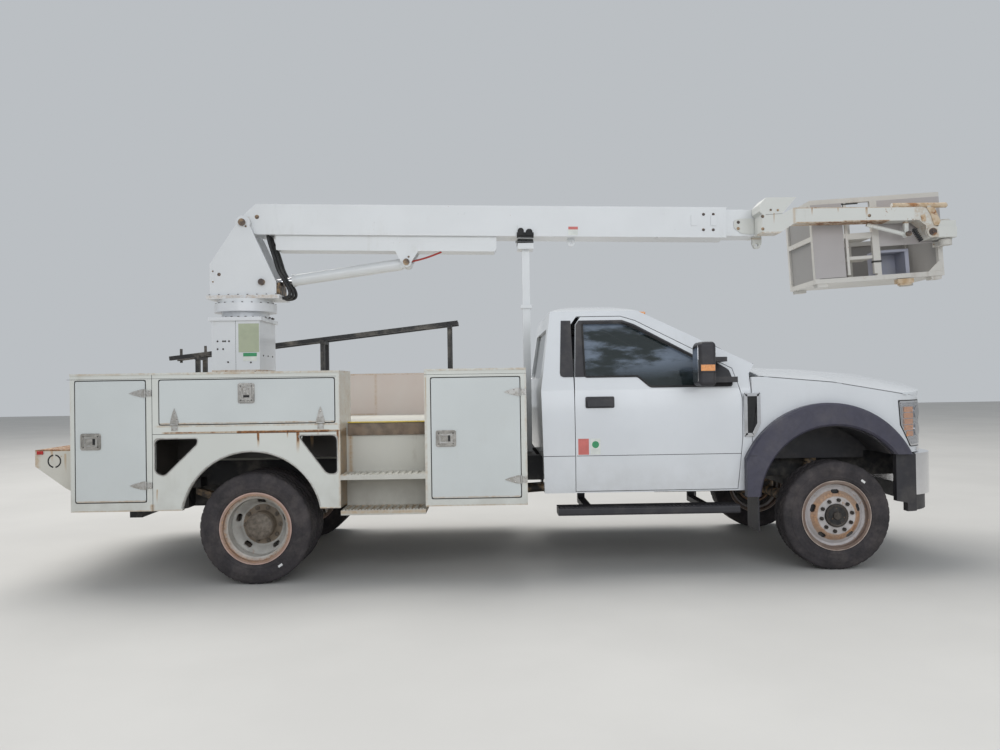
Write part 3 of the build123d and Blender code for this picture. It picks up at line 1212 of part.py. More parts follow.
def basket_local():
    """The basket in its own frame, from its rear near bottom corner."""
    length, width, height = BASKET_LENGTH, BASKET_WIDTH, BASKET_HEIGHT
    t = BASKET_TUBE
    floor = block((0, length), (0, width), (0, 30))
    frame = floor
    for x in (0, length / 2 - t / 2, length - t):
        for y in (0, width - t):
            frame += block((x, x + t), (y, y + t), (0, height))
    for z in (0, MIDDLE_RAIL, height - t):
        ring = block((0, length), (0, width), (z, z + t))
        ring -= block((t, length - t), (t, width - t), (z - 1, z + t + 1))
        frame += ring
    for x in (20, length - 110):
        for y in (10, width - 100):
            frame += block((x, x + 90), (y, y + 90), (-28, 0))
    return frame


def basket_panel_set():
    """Sheet panels between the basket's tubes; its near side is partly open."""
    length, width, height = BASKET_LENGTH, BASKET_WIDTH, BASKET_HEIGHT
    t = BASKET_TUBE
    sheet = 4
    edge = t + SEAT_GAP
    half = length / 2 - t / 2
    lower = (edge, MIDDLE_RAIL - SEAT_GAP)
    upper = (MIDDLE_RAIL + edge, height - edge)
    near = (t / 2 - sheet / 2, t / 2 + sheet / 2)
    far = (width - near[1], width - near[0])
    ends = (near, (length - near[1], length - near[0]))
    panels = [block((edge, 270), near, lower), block((edge, 270), near, upper)]
    panels.append(block((half + edge, length - edge), near, upper))
    for x in ((edge, half - SEAT_GAP), (half + edge, length - edge)):
        panels.append(block(x, far, lower))
    for x in ends:
        panels.append(block(x, (edge, width - edge), lower))
    panels.append(block(ends[0], (edge, width - edge), upper))
    return panels


def place_basket(shape):
    return Pos(BASKET_REAR, BASKET_NEAR, BASKET_LOW) * Rot(0, -BASKET_TILT, 0) * shape


def basket_bracket():
    """The disc, pin and arm that carry the basket under the jib's head."""
    low = HEAD_LOW - 54
    arm = bar_z(TURN_X, ARM_Y, 50, (low, HEAD_LOW - 5))
    arm += block((TURN_X - 40, TURN_X + 20), (ARM_Y - 30, BASKET_NEAR - 3), (low, HEAD_LOW - 12))
    arm += bar_z(TURN_X, ARM_Y, TURN_PIN, (low + 12, HEAD_TOP + 15))
    arm += bar_z(TURN_X, ARM_Y, 34, (HEAD_TOP + 2, HEAD_TOP + 21))
    return arm


def boom_gear():
    save("pedestal", pedestal())
    save("boom_rest", boom_rest())
    save("turret", turret())
    save("boom", laid(boom() + boom_collar()))
    save("boom_extension", laid(extension()))
    save("tip_arm", tip_arm())
    save("lift_barrel", lift_barrel())
    save("lift_rod", lift_rod())
    save("jib_head", jib_head())
    save("basket", place_basket(basket_local()))
    save("basket_bracket", basket_bracket())
    console = block((BASKET_LENGTH - 330, BASKET_LENGTH - 90), (8, BASKET_TUBE + 150),
                    (MIDDLE_RAIL + BASKET_TUBE, BASKET_HEIGHT - 60))
    console = fillet(console.edges(), 12)
    save("basket_panels", *[place_basket(panel) for panel in basket_panel_set() + [console]])


wheels()
chassis_pieces()
cab_pieces()
cab_inside()
front_pieces()
board = running_boards()
save("running_boards", *both_sides(board))
service_body()
boom_gear()
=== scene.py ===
import math

import bmesh
import bpy
from mathutils import Matrix, Vector


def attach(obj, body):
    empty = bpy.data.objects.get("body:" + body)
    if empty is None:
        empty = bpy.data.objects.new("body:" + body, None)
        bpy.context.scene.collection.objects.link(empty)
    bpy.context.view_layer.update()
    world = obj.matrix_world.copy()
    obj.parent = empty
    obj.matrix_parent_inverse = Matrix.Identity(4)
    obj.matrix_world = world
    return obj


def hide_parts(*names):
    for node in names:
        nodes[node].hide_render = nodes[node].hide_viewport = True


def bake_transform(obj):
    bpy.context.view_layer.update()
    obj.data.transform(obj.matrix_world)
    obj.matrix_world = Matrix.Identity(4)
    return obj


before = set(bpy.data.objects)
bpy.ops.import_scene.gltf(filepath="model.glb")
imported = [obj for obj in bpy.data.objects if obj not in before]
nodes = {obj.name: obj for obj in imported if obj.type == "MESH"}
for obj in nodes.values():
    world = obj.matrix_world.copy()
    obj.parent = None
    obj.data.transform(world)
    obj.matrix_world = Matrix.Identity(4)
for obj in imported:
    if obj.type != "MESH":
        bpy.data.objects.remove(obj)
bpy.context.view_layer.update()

# Places are written in millimetres from the rear axle's middle on the ground, X forward, Y left, Z up.
ORIGIN_X = 2014
MM = 0.001
SIDES = (("right", -1), ("left", 1))
WHEELBASE = 4300
AXLE_Z = 405


def at(x, y, z):
    return Vector(((x - ORIGIN_X) * MM, y * MM, z * MM))


# The boom drops forward from its pin by a small angle; its fittings are drawn level and then turned.
LUFF_PIN = (-356, 0, 2829)
BOOM_SLOPE = 1.1
BASKET_CORNER = (4530, -150, 2243)
BASKET_TILT = 3.3

# Faces that carry fittings, as distances from the middle plane, and the tyres' middles.
BODY_FACE = 1215
DOOR_FACE = 1217
HINGE_FACE = 1222
TAIL_FACE = 1100
BOOM_FACE = 130
PEDESTAL_FACE = 260
ARM_FACE = -330
FRONT_TYRE_Y = 950
TWIN_TYRES_Y = (804, 1076)
STEEL_TOP = 1.528


# Finishes
class Value:
    """A number in a material: expressions on it add Math nodes."""

    def __init__(self, finish, socket):
        self.finish = finish
        self.socket = socket

    def math(self, operation, *others):
        node = self.finish.node("ShaderNodeMath", {"operation": operation}, [self, *others])
        return Value(self.finish, node.outputs[0])

    def __add__(self, other):
        return self.math("ADD", other)

    __radd__ = __add__

    def __sub__(self, other):
        return self.math("SUBTRACT", other)

    def __rsub__(self, other):
        return self.math("MULTIPLY_ADD", -1, other)

    def __mul__(self, other):
        return self.math("MULTIPLY", other)

    __rmul__ = __mul__

    def high(self, other):
        return self.math("MAXIMUM", other)

    def size(self):
        return self.math("ABSOLUTE")

    def rise(self, start, end):
        """0 at start and 1 at end, smooth between them."""
        node = self.finish.node("ShaderNodeMapRange", {"interpolation_type": "SMOOTHSTEP"},
                                [self, start, end, 0.0, 1.0])
        return Value(self.finish, node.outputs[0])

    def near(self, middle, reach):
        """1 at middle, falling to 0 at reach from it."""
        return (self - middle).size().rise(reach, reach * 0.35)

    def within(self, start, end, soft):
        return self.rise(start - soft, start + soft) * self.rise(end + soft, end - soft)


class Finish:
    """One material: a Principled shader and the patterns that feed it."""

    def __init__(self, name):
        self.material = bpy.data.materials.new(name)
        self.material.use_nodes = True
        self.tree = self.material.node_tree
        self.shader = self.tree.nodes["Principled BSDF"]
        coordinates = self.tree.nodes.new("ShaderNodeTexCoord")
        self.place = coordinates.outputs["Object"]
        split = self.node("ShaderNodeSeparateXYZ", {}, [self.place])
        self.x, self.y, self.z = (Value(self, socket) for socket in split.outputs)

    def node(self, kind, settings, inputs):
        node = self.tree.nodes.new(kind)
        for key, value in settings.items():
            setattr(node, key, value)
        pairs = inputs.items() if isinstance(inputs, dict) else enumerate(inputs)
        for key, value in pairs:
            if value is None:
                continue
            self.feed(node.inputs[key], value)
        return node

    def feed(self, socket, value):
        if isinstance(value, Value):
            value = value.socket
        if isinstance(value, bpy.types.NodeSocket):
            self.tree.links.new(value, socket)
        elif socket.type == "RGBA" and len(value) == 3:
            socket.default_value = (*value, 1)
        else:
            socket.default_value = value

    def noise(self, scale, detail=4, rough=0.55, stretch=(1, 1, 1), seed=0.0):
        place = self.node("ShaderNodeMapping", {}, {"Vector": self.place, "Scale": stretch,
                                                    "Location": (seed, seed * 0.7, seed * 1.3)})
        node = self.node("ShaderNodeTexNoise", {}, {"Vector": place.outputs[0], "Scale": scale,
                                                    "Detail": detail, "Roughness": rough})
        return Value(self, node.outputs[0])

    def mix(self, mask, under, over):
        node = self.node("ShaderNodeMix", {"data_type": "RGBA"}, {0: mask, 6: under, 7: over})
        return node.outputs[2]

    def vary(self, colour, amount, scale, **more):
        """The colour, darker and lighter by amount in soft patches."""
        dark = [c * (1 - amount) for c in colour]
        light = [min(1, c * (1 + amount)) for c in colour]
        return self.mix(self.noise(scale, **more).rise(0.32, 0.68), dark, light)

    def bump(self, height, distance, strength=1.0):
        node = self.node("ShaderNodeBump", {}, {"Height": height, "Distance": distance,
                                                "Strength": strength})
        self.tree.links.new(node.outputs[0], self.shader.inputs["Normal"])

    def set(self, **values):
        for key, value in values.items():
            self.feed(self.shader.inputs[key.replace("_", " ")], value)
        return self.material


RUST_DARK = (0.10, 0.045, 0.022)
RUST_LIGHT = (0.36, 0.16, 0.06)
RUST_STAIN = (0.46, 0.31, 0.17)
ROAD_DUST = (0.30, 0.27, 0.23)


def shift(x):
    """A distance forward of the rear axle in millimetres, as the frame's X in metres."""
    return (x - ORIGIN_X) * MM


def rust_over(finish, base, mask):
    """Rust where mask is high: dark in its middle, brown at its edge, with a thin stain round it."""
    grain = finish.noise(90, 5, 0.7)
    rust = finish.mix(grain.rise(0.35, 0.65), RUST_DARK, RUST_LIGHT)
    stained = finish.mix(mask.rise(0.05, 0.5) * 0.7, base, RUST_STAIN)
    return finish.mix(mask.rise(0.45, 0.62), stained, rust)


def painted(name, colour, roughness=0.32, coat=0.5, sites=(), streaks=(), dust=0.35, chips=0.0,
            dirt=0.25, dirt_colour=(0.42, 0.40, 0.34), steel_beyond=None, tints_and_painted_shade=()):
    """Paint with road dust low down, patchy dirt, chips, and rust at the sites and streaks.

    What stands out past steel_beyond metres from the middle plane is bare stainless steel.
    """
    finish = Finish(name)
    base = finish.vary(colour, 0.025, 1.7, detail=3)
    cloud = finish.noise(3.2, 6, 0.62)
    drips = finish.noise(6, 4, 0.6, stretch=(4, 4, 0.35), seed=3.1)
    dirty = cloud.rise(0.52, 0.78) * drips.rise(0.4, 0.7) * dirt
    base = finish.mix(dirty, base, dirt_colour)
    # Boxes of the surface pulled towards a colour in cloudy patches: the near-black boxes are painted shade
    # inside the wheel wells.
    for x0, x1, y0, y1, z0, z1, tint, amount in tints_and_painted_shade:
        place = finish.x.within(shift(x0), shift(x1), 0.02) * finish.z.within(z0 * MM, z1 * MM, 0.02)
        place = place * finish.y.within(y0 * MM, y1 * MM, 0.004)
        base = finish.mix(place * (cloud * 0.5 + (amount - 0.25)), base, tint)
    low = finish.z.rise(1.0, 0.45) * finish.noise(5, 5, 0.6, seed=8).rise(0.25, 0.75)
    base = finish.mix(low * dust, base, ROAD_DUST)
    fine = finish.noise(42, 6, 0.72, seed=1.7)
    rust = None
    for x0, x1, z0, z1, amount in sites:
        mask = finish.x.within(shift(x0), shift(x1), 0.02) * finish.z.within(z0 * MM, z1 * MM, 0.006)
        mask = mask * (fine * 0.8 + finish.noise(9, 3, seed=x0 * MM) * 0.55 - 0.45 + amount)
        rust = mask if rust is None else rust.high(mask)
    for x, z_top, z_end, width, amount in streaks:
        wander = (finish.noise(7, 2, seed=x * MM) - 0.5) * 0.012
        mask = (finish.x + wander).near(shift(x), width * MM) * finish.z.rise(z_end * MM, z_top * MM)
        mask = mask * finish.z.rise(z_top * MM + 0.012, z_top * MM) * amount
        rust = mask if rust is None else rust.high(mask)
    if chips:
        spots = finish.noise(55, 4, 0.75, seed=5.5) * 0.6 + finish.noise(4.5, 3, seed=2.2) * 0.5
        mask = spots.rise(0.74 - chips * 0.08, 0.86 - chips * 0.08)
        rust = mask if rust is None else rust.high(mask)
    rough = finish.noise(14, 3) * 0.12 + (roughness - 0.06)
    if rust is not None:
        base = rust_over(finish, base, rust)
        rough = rough + rust.rise(0.3, 0.6) * 0.4
    finish.bump(fine * 0.4 + cloud, 0.0006, 0.35)
    if steel_beyond:
        steel = finish.y.size().rise(steel_beyond, steel_beyond + 0.0006)
        steel = steel * finish.z.rise(STEEL_TOP, STEEL_TOP - 0.002)
        tone = finish.mix(finish.noise(30, 4).rise(0.4, 0.7), (0.50, 0.49, 0.47), (0.36, 0.34, 0.31))
        base = finish.mix(steel, base, tone)
        finish.set(Metallic=steel * 0.85)
    return finish.set(Base_Color=base, Roughness=rough, Coat_Weight=coat, Coat_Roughness=0.12)


def plain(name, colour, roughness=0.5, metallic=0.0, amount=0.08, scale=20, grain=0.0004, dust=0.3,
          coat=0.0):
    """Plastic, rubber or metal with slight patches, a fine grain and dust."""
    finish = Finish(name)
    base = finish.vary(colour, amount, scale)
    base = finish.mix(finish.noise(4, 5, 0.65, seed=4).rise(0.45, 0.75) * dust, base, ROAD_DUST)
    rough = finish.noise(scale * 2, 4) * 0.16 + (roughness - 0.08)
    finish.bump(finish.noise(scale * 18, 4, 0.7), grain, 0.6)
    return finish.set(Base_Color=base, Roughness=rough, Metallic=metallic, Coat_Weight=coat)


def rusty_steel(name, paint, amount):
    """Steel whose paint is partly gone: amount is the share that shows rust."""
    finish = Finish(name)
    patch = finish.noise(9, 7, 0.68) * 0.7 + finish.noise(38, 5, 0.7, seed=2) * 0.3
    grain = finish.noise(80, 5, 0.75, seed=6)
    rust = finish.mix(grain.rise(0.35, 0.65), (0.20, 0.085, 0.035), (0.50, 0.25, 0.11))
    coat = finish.mix(finish.noise(16, 4, seed=9).rise(0.4, 0.7), paint, RUST_STAIN)
    mask = patch.rise(0.64 - amount * 0.3, 0.72 - amount * 0.3)
    finish.bump(grain + mask, 0.0012, 0.5)
    return finish.set(Base_Color=finish.mix(mask, coat, rust), Roughness=mask * 0.3 + 0.5)


def wheel_finish(name, wheel_x, bands, rust_from, rust_to, hub_colour):
    """A pressed wheel painted in rings: bands are (inner radius, colour), from the middle out."""
    finish = Finish(name)
    across = finish.x - shift(wheel_x)
    up = finish.z - AXLE_Z * MM
    radius = (across * across + up * up).math("SQRT")
    ragged = radius + (finish.noise(11, 5, 0.65) - 0.5) * 0.018
    base = finish.vary(hub_colour, 0.2, 30)
    for start, colour in bands:
        tone = finish.vary(colour, 0.10, 14)
        base = finish.mix(ragged.rise(start * MM - 0.003, start * MM + 0.003), base, tone)
    worn = finish.noise(24, 6, 0.7, seed=3).rise(0.46, 0.66)
    zone = ragged.within(rust_from * MM, rust_to * MM, 0.012)
    grain = finish.noise(70, 5, 0.7)
    rust = finish.mix(grain.rise(0.4, 0.62), (0.24, 0.115, 0.055), (0.52, 0.28, 0.13))
    base = finish.mix(zone * (worn * 0.6 + 0.4), base, rust)
    spots = finish.noise(34, 5, 0.7, seed=11).rise(0.60, 0.70) * 0.8
    base = finish.mix(spots, base, rust)
    base = finish.mix(finish.noise(6, 4, seed=5).rise(0.35, 0.7) * 0.3, base, ROAD_DUST)
    finish.bump(grain + worn, 0.0009, 0.5)
    return finish.set(Base_Color=base, Roughness=0.62)


def rubber(name):
    finish = Finish(name)
    base = finish.vary((0.030, 0.026, 0.029), 0.25, 9)
    dusty = finish.noise(7, 6, 0.65).rise(0.42, 0.72) * 0.34 + finish.noise(60, 4).rise(0.4, 0.7) * 0.10
    base = finish.mix(dusty * 0.8, base, (0.16, 0.135, 0.125))
    finish.bump(finish.noise(160, 4, 0.7), 0.0005, 0.5)
    return finish.set(Base_Color=base, Roughness=finish.noise(20, 3) * 0.15 + 0.72)


def glass_with_painted_reflection(name):
    """Side glass with a painted reflection, pale in soft patches of its upper half and dark lower down."""
    finish = Finish(name)
    cloud = finish.noise(2.3, 5, 0.6, stretch=(0.8, 1, 2.6), seed=4.4)
    # The painted reflection: bluish pale patches in the upper half, near black lower down.
    pale = cloud.rise(0.40, 0.55) * finish.z.rise(1.42, 1.62)
    base = finish.mix(pale, (0.018, 0.027, 0.028), (0.17, 0.21, 0.27))
    return finish.set(Base_Color=base, Roughness=cloud * 0.04 + 0.02, Alpha=pale * 0.12 + 0.78, IOR=1.5,
                      Specular_IOR_Level=0.8)


def glass(name, tint, alpha):
    finish = Finish(name)
    smear = finish.noise(5, 5, 0.6, stretch=(1, 1, 0.5)).rise(0.5, 0.8)
    return finish.set(Base_Color=finish.mix(smear * 0.25, tint, (0.30, 0.31, 0.30)),
                      Roughness=smear * 0.06 + 0.03, Alpha=smear * 0.10 + alpha, IOR=1.5,
                      Specular_IOR_Level=0.8)


BODY_SITES = (
    (-650, 640, 1104, 1117, 0.32), (-120, 560, 1099, 1119, 0.40), (-1330, 2000, 1528, 1550, 0.02),
    (-1330, 2000, 545, 560, 0.06), (618, 640, 560, 1160, 0.22), (622, 645, 1120, 1545, 0.10),
    (-740, -712, 545, 600, 0.30), (1238, 1258, 550, 1545, 0.12), (-705, 620, 1150, 1166, 0.06),
    (-1320, -1304, 550, 1545, 0.04), (1965, 1990, 550, 1545, 0.02),
)
BODY_STREAKS = (
    (40, 1106, 960, 13, 0.85), (325, 1106, 900, 18, 0.75), (612, 1111, 700, 14, 0.6),
    (250, 1106, 1040, 8, 0.6), (-690, 700, 560, 8, 0.5), (470, 1111, 1000, 9, 0.4),
    (1250, 1480, 900, 7, 0.45),
)
WHITE = (0.70, 0.715, 0.73)
CREAM = (0.66, 0.67, 0.63)

cab_white = painted("cab_white", (0.70, 0.72, 0.745), 0.24, 0.8, dust=0.28, dirt=0.10)
door_white = painted("door_white", (0.61, 0.64, 0.635), 0.36, 0.35, dust=0.12, dirt=0.12,
                     sites=((-680, 600, 1170, 1184, 0.10), (-1280, -765, 616, 630, 0.14),
                            (1285, 1940, 606, 620, 0.10)), steel_beyond=1.2176)
# The first two boxes are painted shade, near black inside the right and left wheel wells; the third is a
# pinkish tone on the left side's inner wall.
frame_cream = painted("frame_cream", CREAM, 0.42, 0.2, BODY_SITES, BODY_STREAKS, dust=0.35, dirt=0.45,
                      steel_beyond=1.2154,
                      tints_and_painted_shade=((-730, 640, -1190, -700, 540, 1110, (0.035, 0.030, 0.026), 1.1),
                             (-730, 640, 700, 1190, 540, 1110, (0.035, 0.030, 0.026), 1.1),
                             (-1350, 2000, 690, 740, 1140, 1560, (0.60, 0.49, 0.44), 0.75)))
boom_white = painted("boom_white", (0.70, 0.715, 0.725), 0.30, 0.5, dirt=0.30, chips=0.25,
                     sites=((-470, -300, 2800, 2890, 0.0),))
turret_white = painted("turret_white", WHITE, 0.34, 0.4, dirt=0.35, chips=0.35,
                       sites=((-670, -50, 2184, 2214, 0.04),))
pedestal_white = painted("pedestal_white", (0.70, 0.715, 0.74), 0.34, 0.4, dirt=0.25, chips=0.3,
                         sites=((-640, -150, 1545, 1580, 0.22),))
arm_white = painted("arm_white", (0.66, 0.665, 0.63), 0.45, 0.15, dirt=0.6, chips=0.9,
                    sites=((4287, 5400, 2858, 2872, 0.22), (4300, 5345, 2735, 2748, 0.30),
                           (4700, 5100, 2735, 2756, 0.34), (4284, 4296, 2735, 2872, 0.45),
                           (5300, 5500, 2600, 2880, 0.06), (4000, 4200, 2650, 2670, 0.06)),
                    streaks=((4120, 2820, 2690, 9, 0.45), (4440, 2868, 2770, 8, 0.6),
                             (4900, 2868, 2740, 16, 0.55), (4660, 2868, 2800, 10, 0.5)))
basket_white = painted("basket_white", (0.60, 0.58, 0.54), 0.55, 0.0, dirt=0.9, chips=1.0,
                       dirt_colour=(0.38, 0.33, 0.28))
basket_sheet = painted("basket_sheet", (0.31, 0.30, 0.29), 0.6, 0.0, dirt=0.8, chips=0.5,
                       dirt_colour=(0.28, 0.26, 0.24))
rusty_tube = rusty_steel("rusty_tube", (0.62, 0.50, 0.36), 0.42)
rusty_pin = rusty_steel("rusty_pin", (0.075, 0.055, 0.048), 0.25)
panel_pale = painted("panel_pale", (0.43, 0.405, 0.40), 0.6, 0.0, dirt=0.6, chips=0.3,
                     dirt_colour=(0.34, 0.31, 0.30))
box_blue = painted("box_blue", (0.34, 0.35, 0.42), 0.5, 0.1, dirt=0.6, chips=0.3)
tail_white = painted("tail_white", (0.60, 0.58, 0.52), 0.5, 0.1, dirt=0.8, chips=1.1,
                     sites=((-1640, -1340, 985, 1040, 0.34), (-1640, -1585, 860, 1040, 0.12)),
                     streaks=((-1500, 1000, 860, 14, 0.5), (-1400, 960, 760, 12, 0.45)))
label_red = plain("label_red", (0.60, 0.16, 0.14), 0.4, dust=0.05)
step_grey = painted("step_grey", (0.56, 0.55, 0.50), 0.6, 0.0, dirt=0.9, chips=0.15, dust=0.5,
                    dirt_colour=(0.30, 0.26, 0.21),
                    sites=((600, 1260, 505, 530, 0.10), (640, 672, 780, 1150, 0.22)))
frame_black = plain("frame_black", (0.020, 0.020, 0.022), 0.55, dust=0.55)
cast_iron = rusty_steel("cast_iron", (0.050, 0.043, 0.038), 0.10)
hub_dust = plain("hub_dust", (0.15, 0.125, 0.10), 0.65, 0.2, 0.3, 40, 0.0008, 0.5)
black_plastic = plain("black_plastic", (0.026, 0.025, 0.030), 0.5, grain=0.0005, scale=26, dust=0.15)
flare_black = plain("flare_black", (0.052, 0.050, 0.075), 0.42, grain=0.0006, scale=30, dust=0.12)
seal_black = plain("seal_black", (0.012, 0.012, 0.013), 0.7, dust=0.1)
chrome = plain("chrome", (0.80, 0.80, 0.82), 0.13, 1.0, 0.04, 8, 0.0001, 0.12)
stainless = plain("stainless", (0.50, 0.48, 0.45), 0.20, 1.0, 0.18, 30, 0.0003, 0.35)
nut_dark = plain("nut_dark", (0.045, 0.037, 0.032), 0.55, 0.5, 0.3, 80, 0.0005, 0.3)
tyre_black = rubber("tyre_black")
mark_white = plain("mark_white", (0.75, 0.75, 0.74), 0.6, dust=0.2)
seat_grey = plain("seat_grey", (0.050, 0.050, 0.055), 0.6, grain=0.0008, scale=40, dust=0.05)
dash_grey = plain("dash_grey", (0.035, 0.035, 0.038), 0.55, grain=0.0006, scale=60, dust=0.08)
window_glass = glass("window_glass", (0.020, 0.028, 0.030), 0.72)
side_glass = glass_with_painted_reflection("side_glass")
lamp_clear = glass("lamp_clear", (0.42, 0.43, 0.45), 0.20)
amber = plain("amber", (0.80, 0.34, 0.12), 0.16, amount=0.12, scale=90, grain=0.0004, dust=0.05, coat=0.8)
lens_red = plain("lens_red", (0.42, 0.012, 0.010), 0.14, amount=0.15, scale=90, grain=0.0004, dust=0.1,
                 coat=0.8)
placard_green = plain("placard_green", (0.42, 0.46, 0.33), 0.5, amount=0.06, scale=9, dust=0.15)
sticker_green = plain("sticker_green", (0.04, 0.28, 0.12), 0.4, dust=0.05)
sticker_white = plain("sticker_white", (0.70, 0.72, 0.68), 0.4, dust=0.1)
hose_black = plain("hose_black", (0.016, 0.016, 0.017), 0.5, amount=0.2, scale=50, dust=0.18)
hose_red = plain("hose_red", (0.42, 0.045, 0.035), 0.45, dust=0.15)
yellow_paint = plain("yellow_paint", (0.62, 0.46, 0.08), 0.5, amount=0.15, dust=0.3)
board_brown = plain("board_brown", (0.17, 0.125, 0.09), 0.75, amount=0.3, scale=14, grain=0.0015, dust=0.4)
chrome_rod = plain("chrome_rod", (0.70, 0.70, 0.72), 0.08, 1.0, 0.03, 8, 0.00005, 0.1)
front_rim = wheel_finish("front_rim", WHEELBASE, ((89, (0.50, 0.47, 0.46)), (143, (0.37, 0.25, 0.18)),
                         (188, (0.50, 0.47, 0.47)), (230, (0.17, 0.115, 0.09)), (257, (0.46, 0.37, 0.32))),
                         146, 180, (0.008, 0.008, 0.009))
rear_rim = wheel_finish("rear_rim", 0, ((100, (0.24, 0.19, 0.14)), (148, (0.52, 0.51, 0.48)),
                        (236, (0.33, 0.21, 0.16)), (254, (0.50, 0.34, 0.29))),
                        222, 244, (0.17, 0.13, 0.095))

FINISHED_NODES = (
    (frame_black, "frame_rails fuel_tank ladder_rack"),
    (cast_iron, "powertrain front_axle rear_axle knuckle_left knuckle_right"),
    (cab_white, "cab_shell fenders hood door_left door_right"),
    (window_glass, "cab_glass"),
    (side_glass, "door_glass_left door_glass_right"),
    (seat_grey, "bench_seat"),
    (dash_grey, "dashboard"),
    (chrome, "headlamps grille front_bumper"),
    (black_plastic, "bumper_valance splash_guards running_boards mirror_left mirror_right"),
    (flare_black, "wheel_flares"),
    (frame_cream, "body_side_left body_side_right"),
    (step_grey, "body_deck access_steps"),
    (tail_white, "tail_shelf"),
    (lens_red, "tail_lamps"),
    (pedestal_white, "pedestal"),
    (turret_white, "turret"),
    (boom_white, "boom boom_extension boom_rest lift_barrel"),
    (chrome_rod, "lift_rod"),
    (arm_white, "tip_arm jib_head"),
    (basket_white, "basket basket_bracket"),
    (basket_sheet, "basket_panels"),
    (front_rim, "wheel_front_left wheel_front_right"),
    (rear_rim, "wheels_rear_left wheels_rear_right"),
)
NODE_FINISH = {name: finish for finish, names in FINISHED_NODES for name in names.split()}
for name, node in nodes.items():
    finish = NODE_FINISH.get(name, door_white)
    for slot in node.material_slots:
        slot.material = finish
    if not node.material_slots:
        node.data.materials.append(finish)


# Making pieces
def finish_piece(name, mesh, material, body, slot, smooth=30, bevel=0.0):
    piece = bpy.data.objects.new(name, mesh)
    bpy.context.scene.collection.objects.link(piece)
    mesh.materials.append(material)
    if smooth:
        for face in mesh.polygons:
            face.use_smooth = True
        mesh.set_sharp_from_angle(angle=math.radians(smooth))
    if bevel:
        modifier = piece.modifiers.new("edges", "BEVEL")
        modifier.width = bevel * MM
        modifier.segments = 2
        modifier.limit_method = "ANGLE"
        modifier.harden_normals = True
    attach(piece, body)
    return piece


def cut_across(work, axis, step):
    """Cuts a flat mesh along one axis, once every step."""
    values = [v.co[axis] for v in work.verts]
    normal = [0, 0, 0]
    normal[axis] = 1
    cut = min(values) + step
    while cut < max(values):
        place = [0, 0, 0]
        place[axis] = cut
        geometry = work.verts[:] + work.edges[:] + work.faces[:]
        bmesh.ops.bisect_plane(work, geom=geometry, plane_co=place, plane_no=normal)
        cut += step


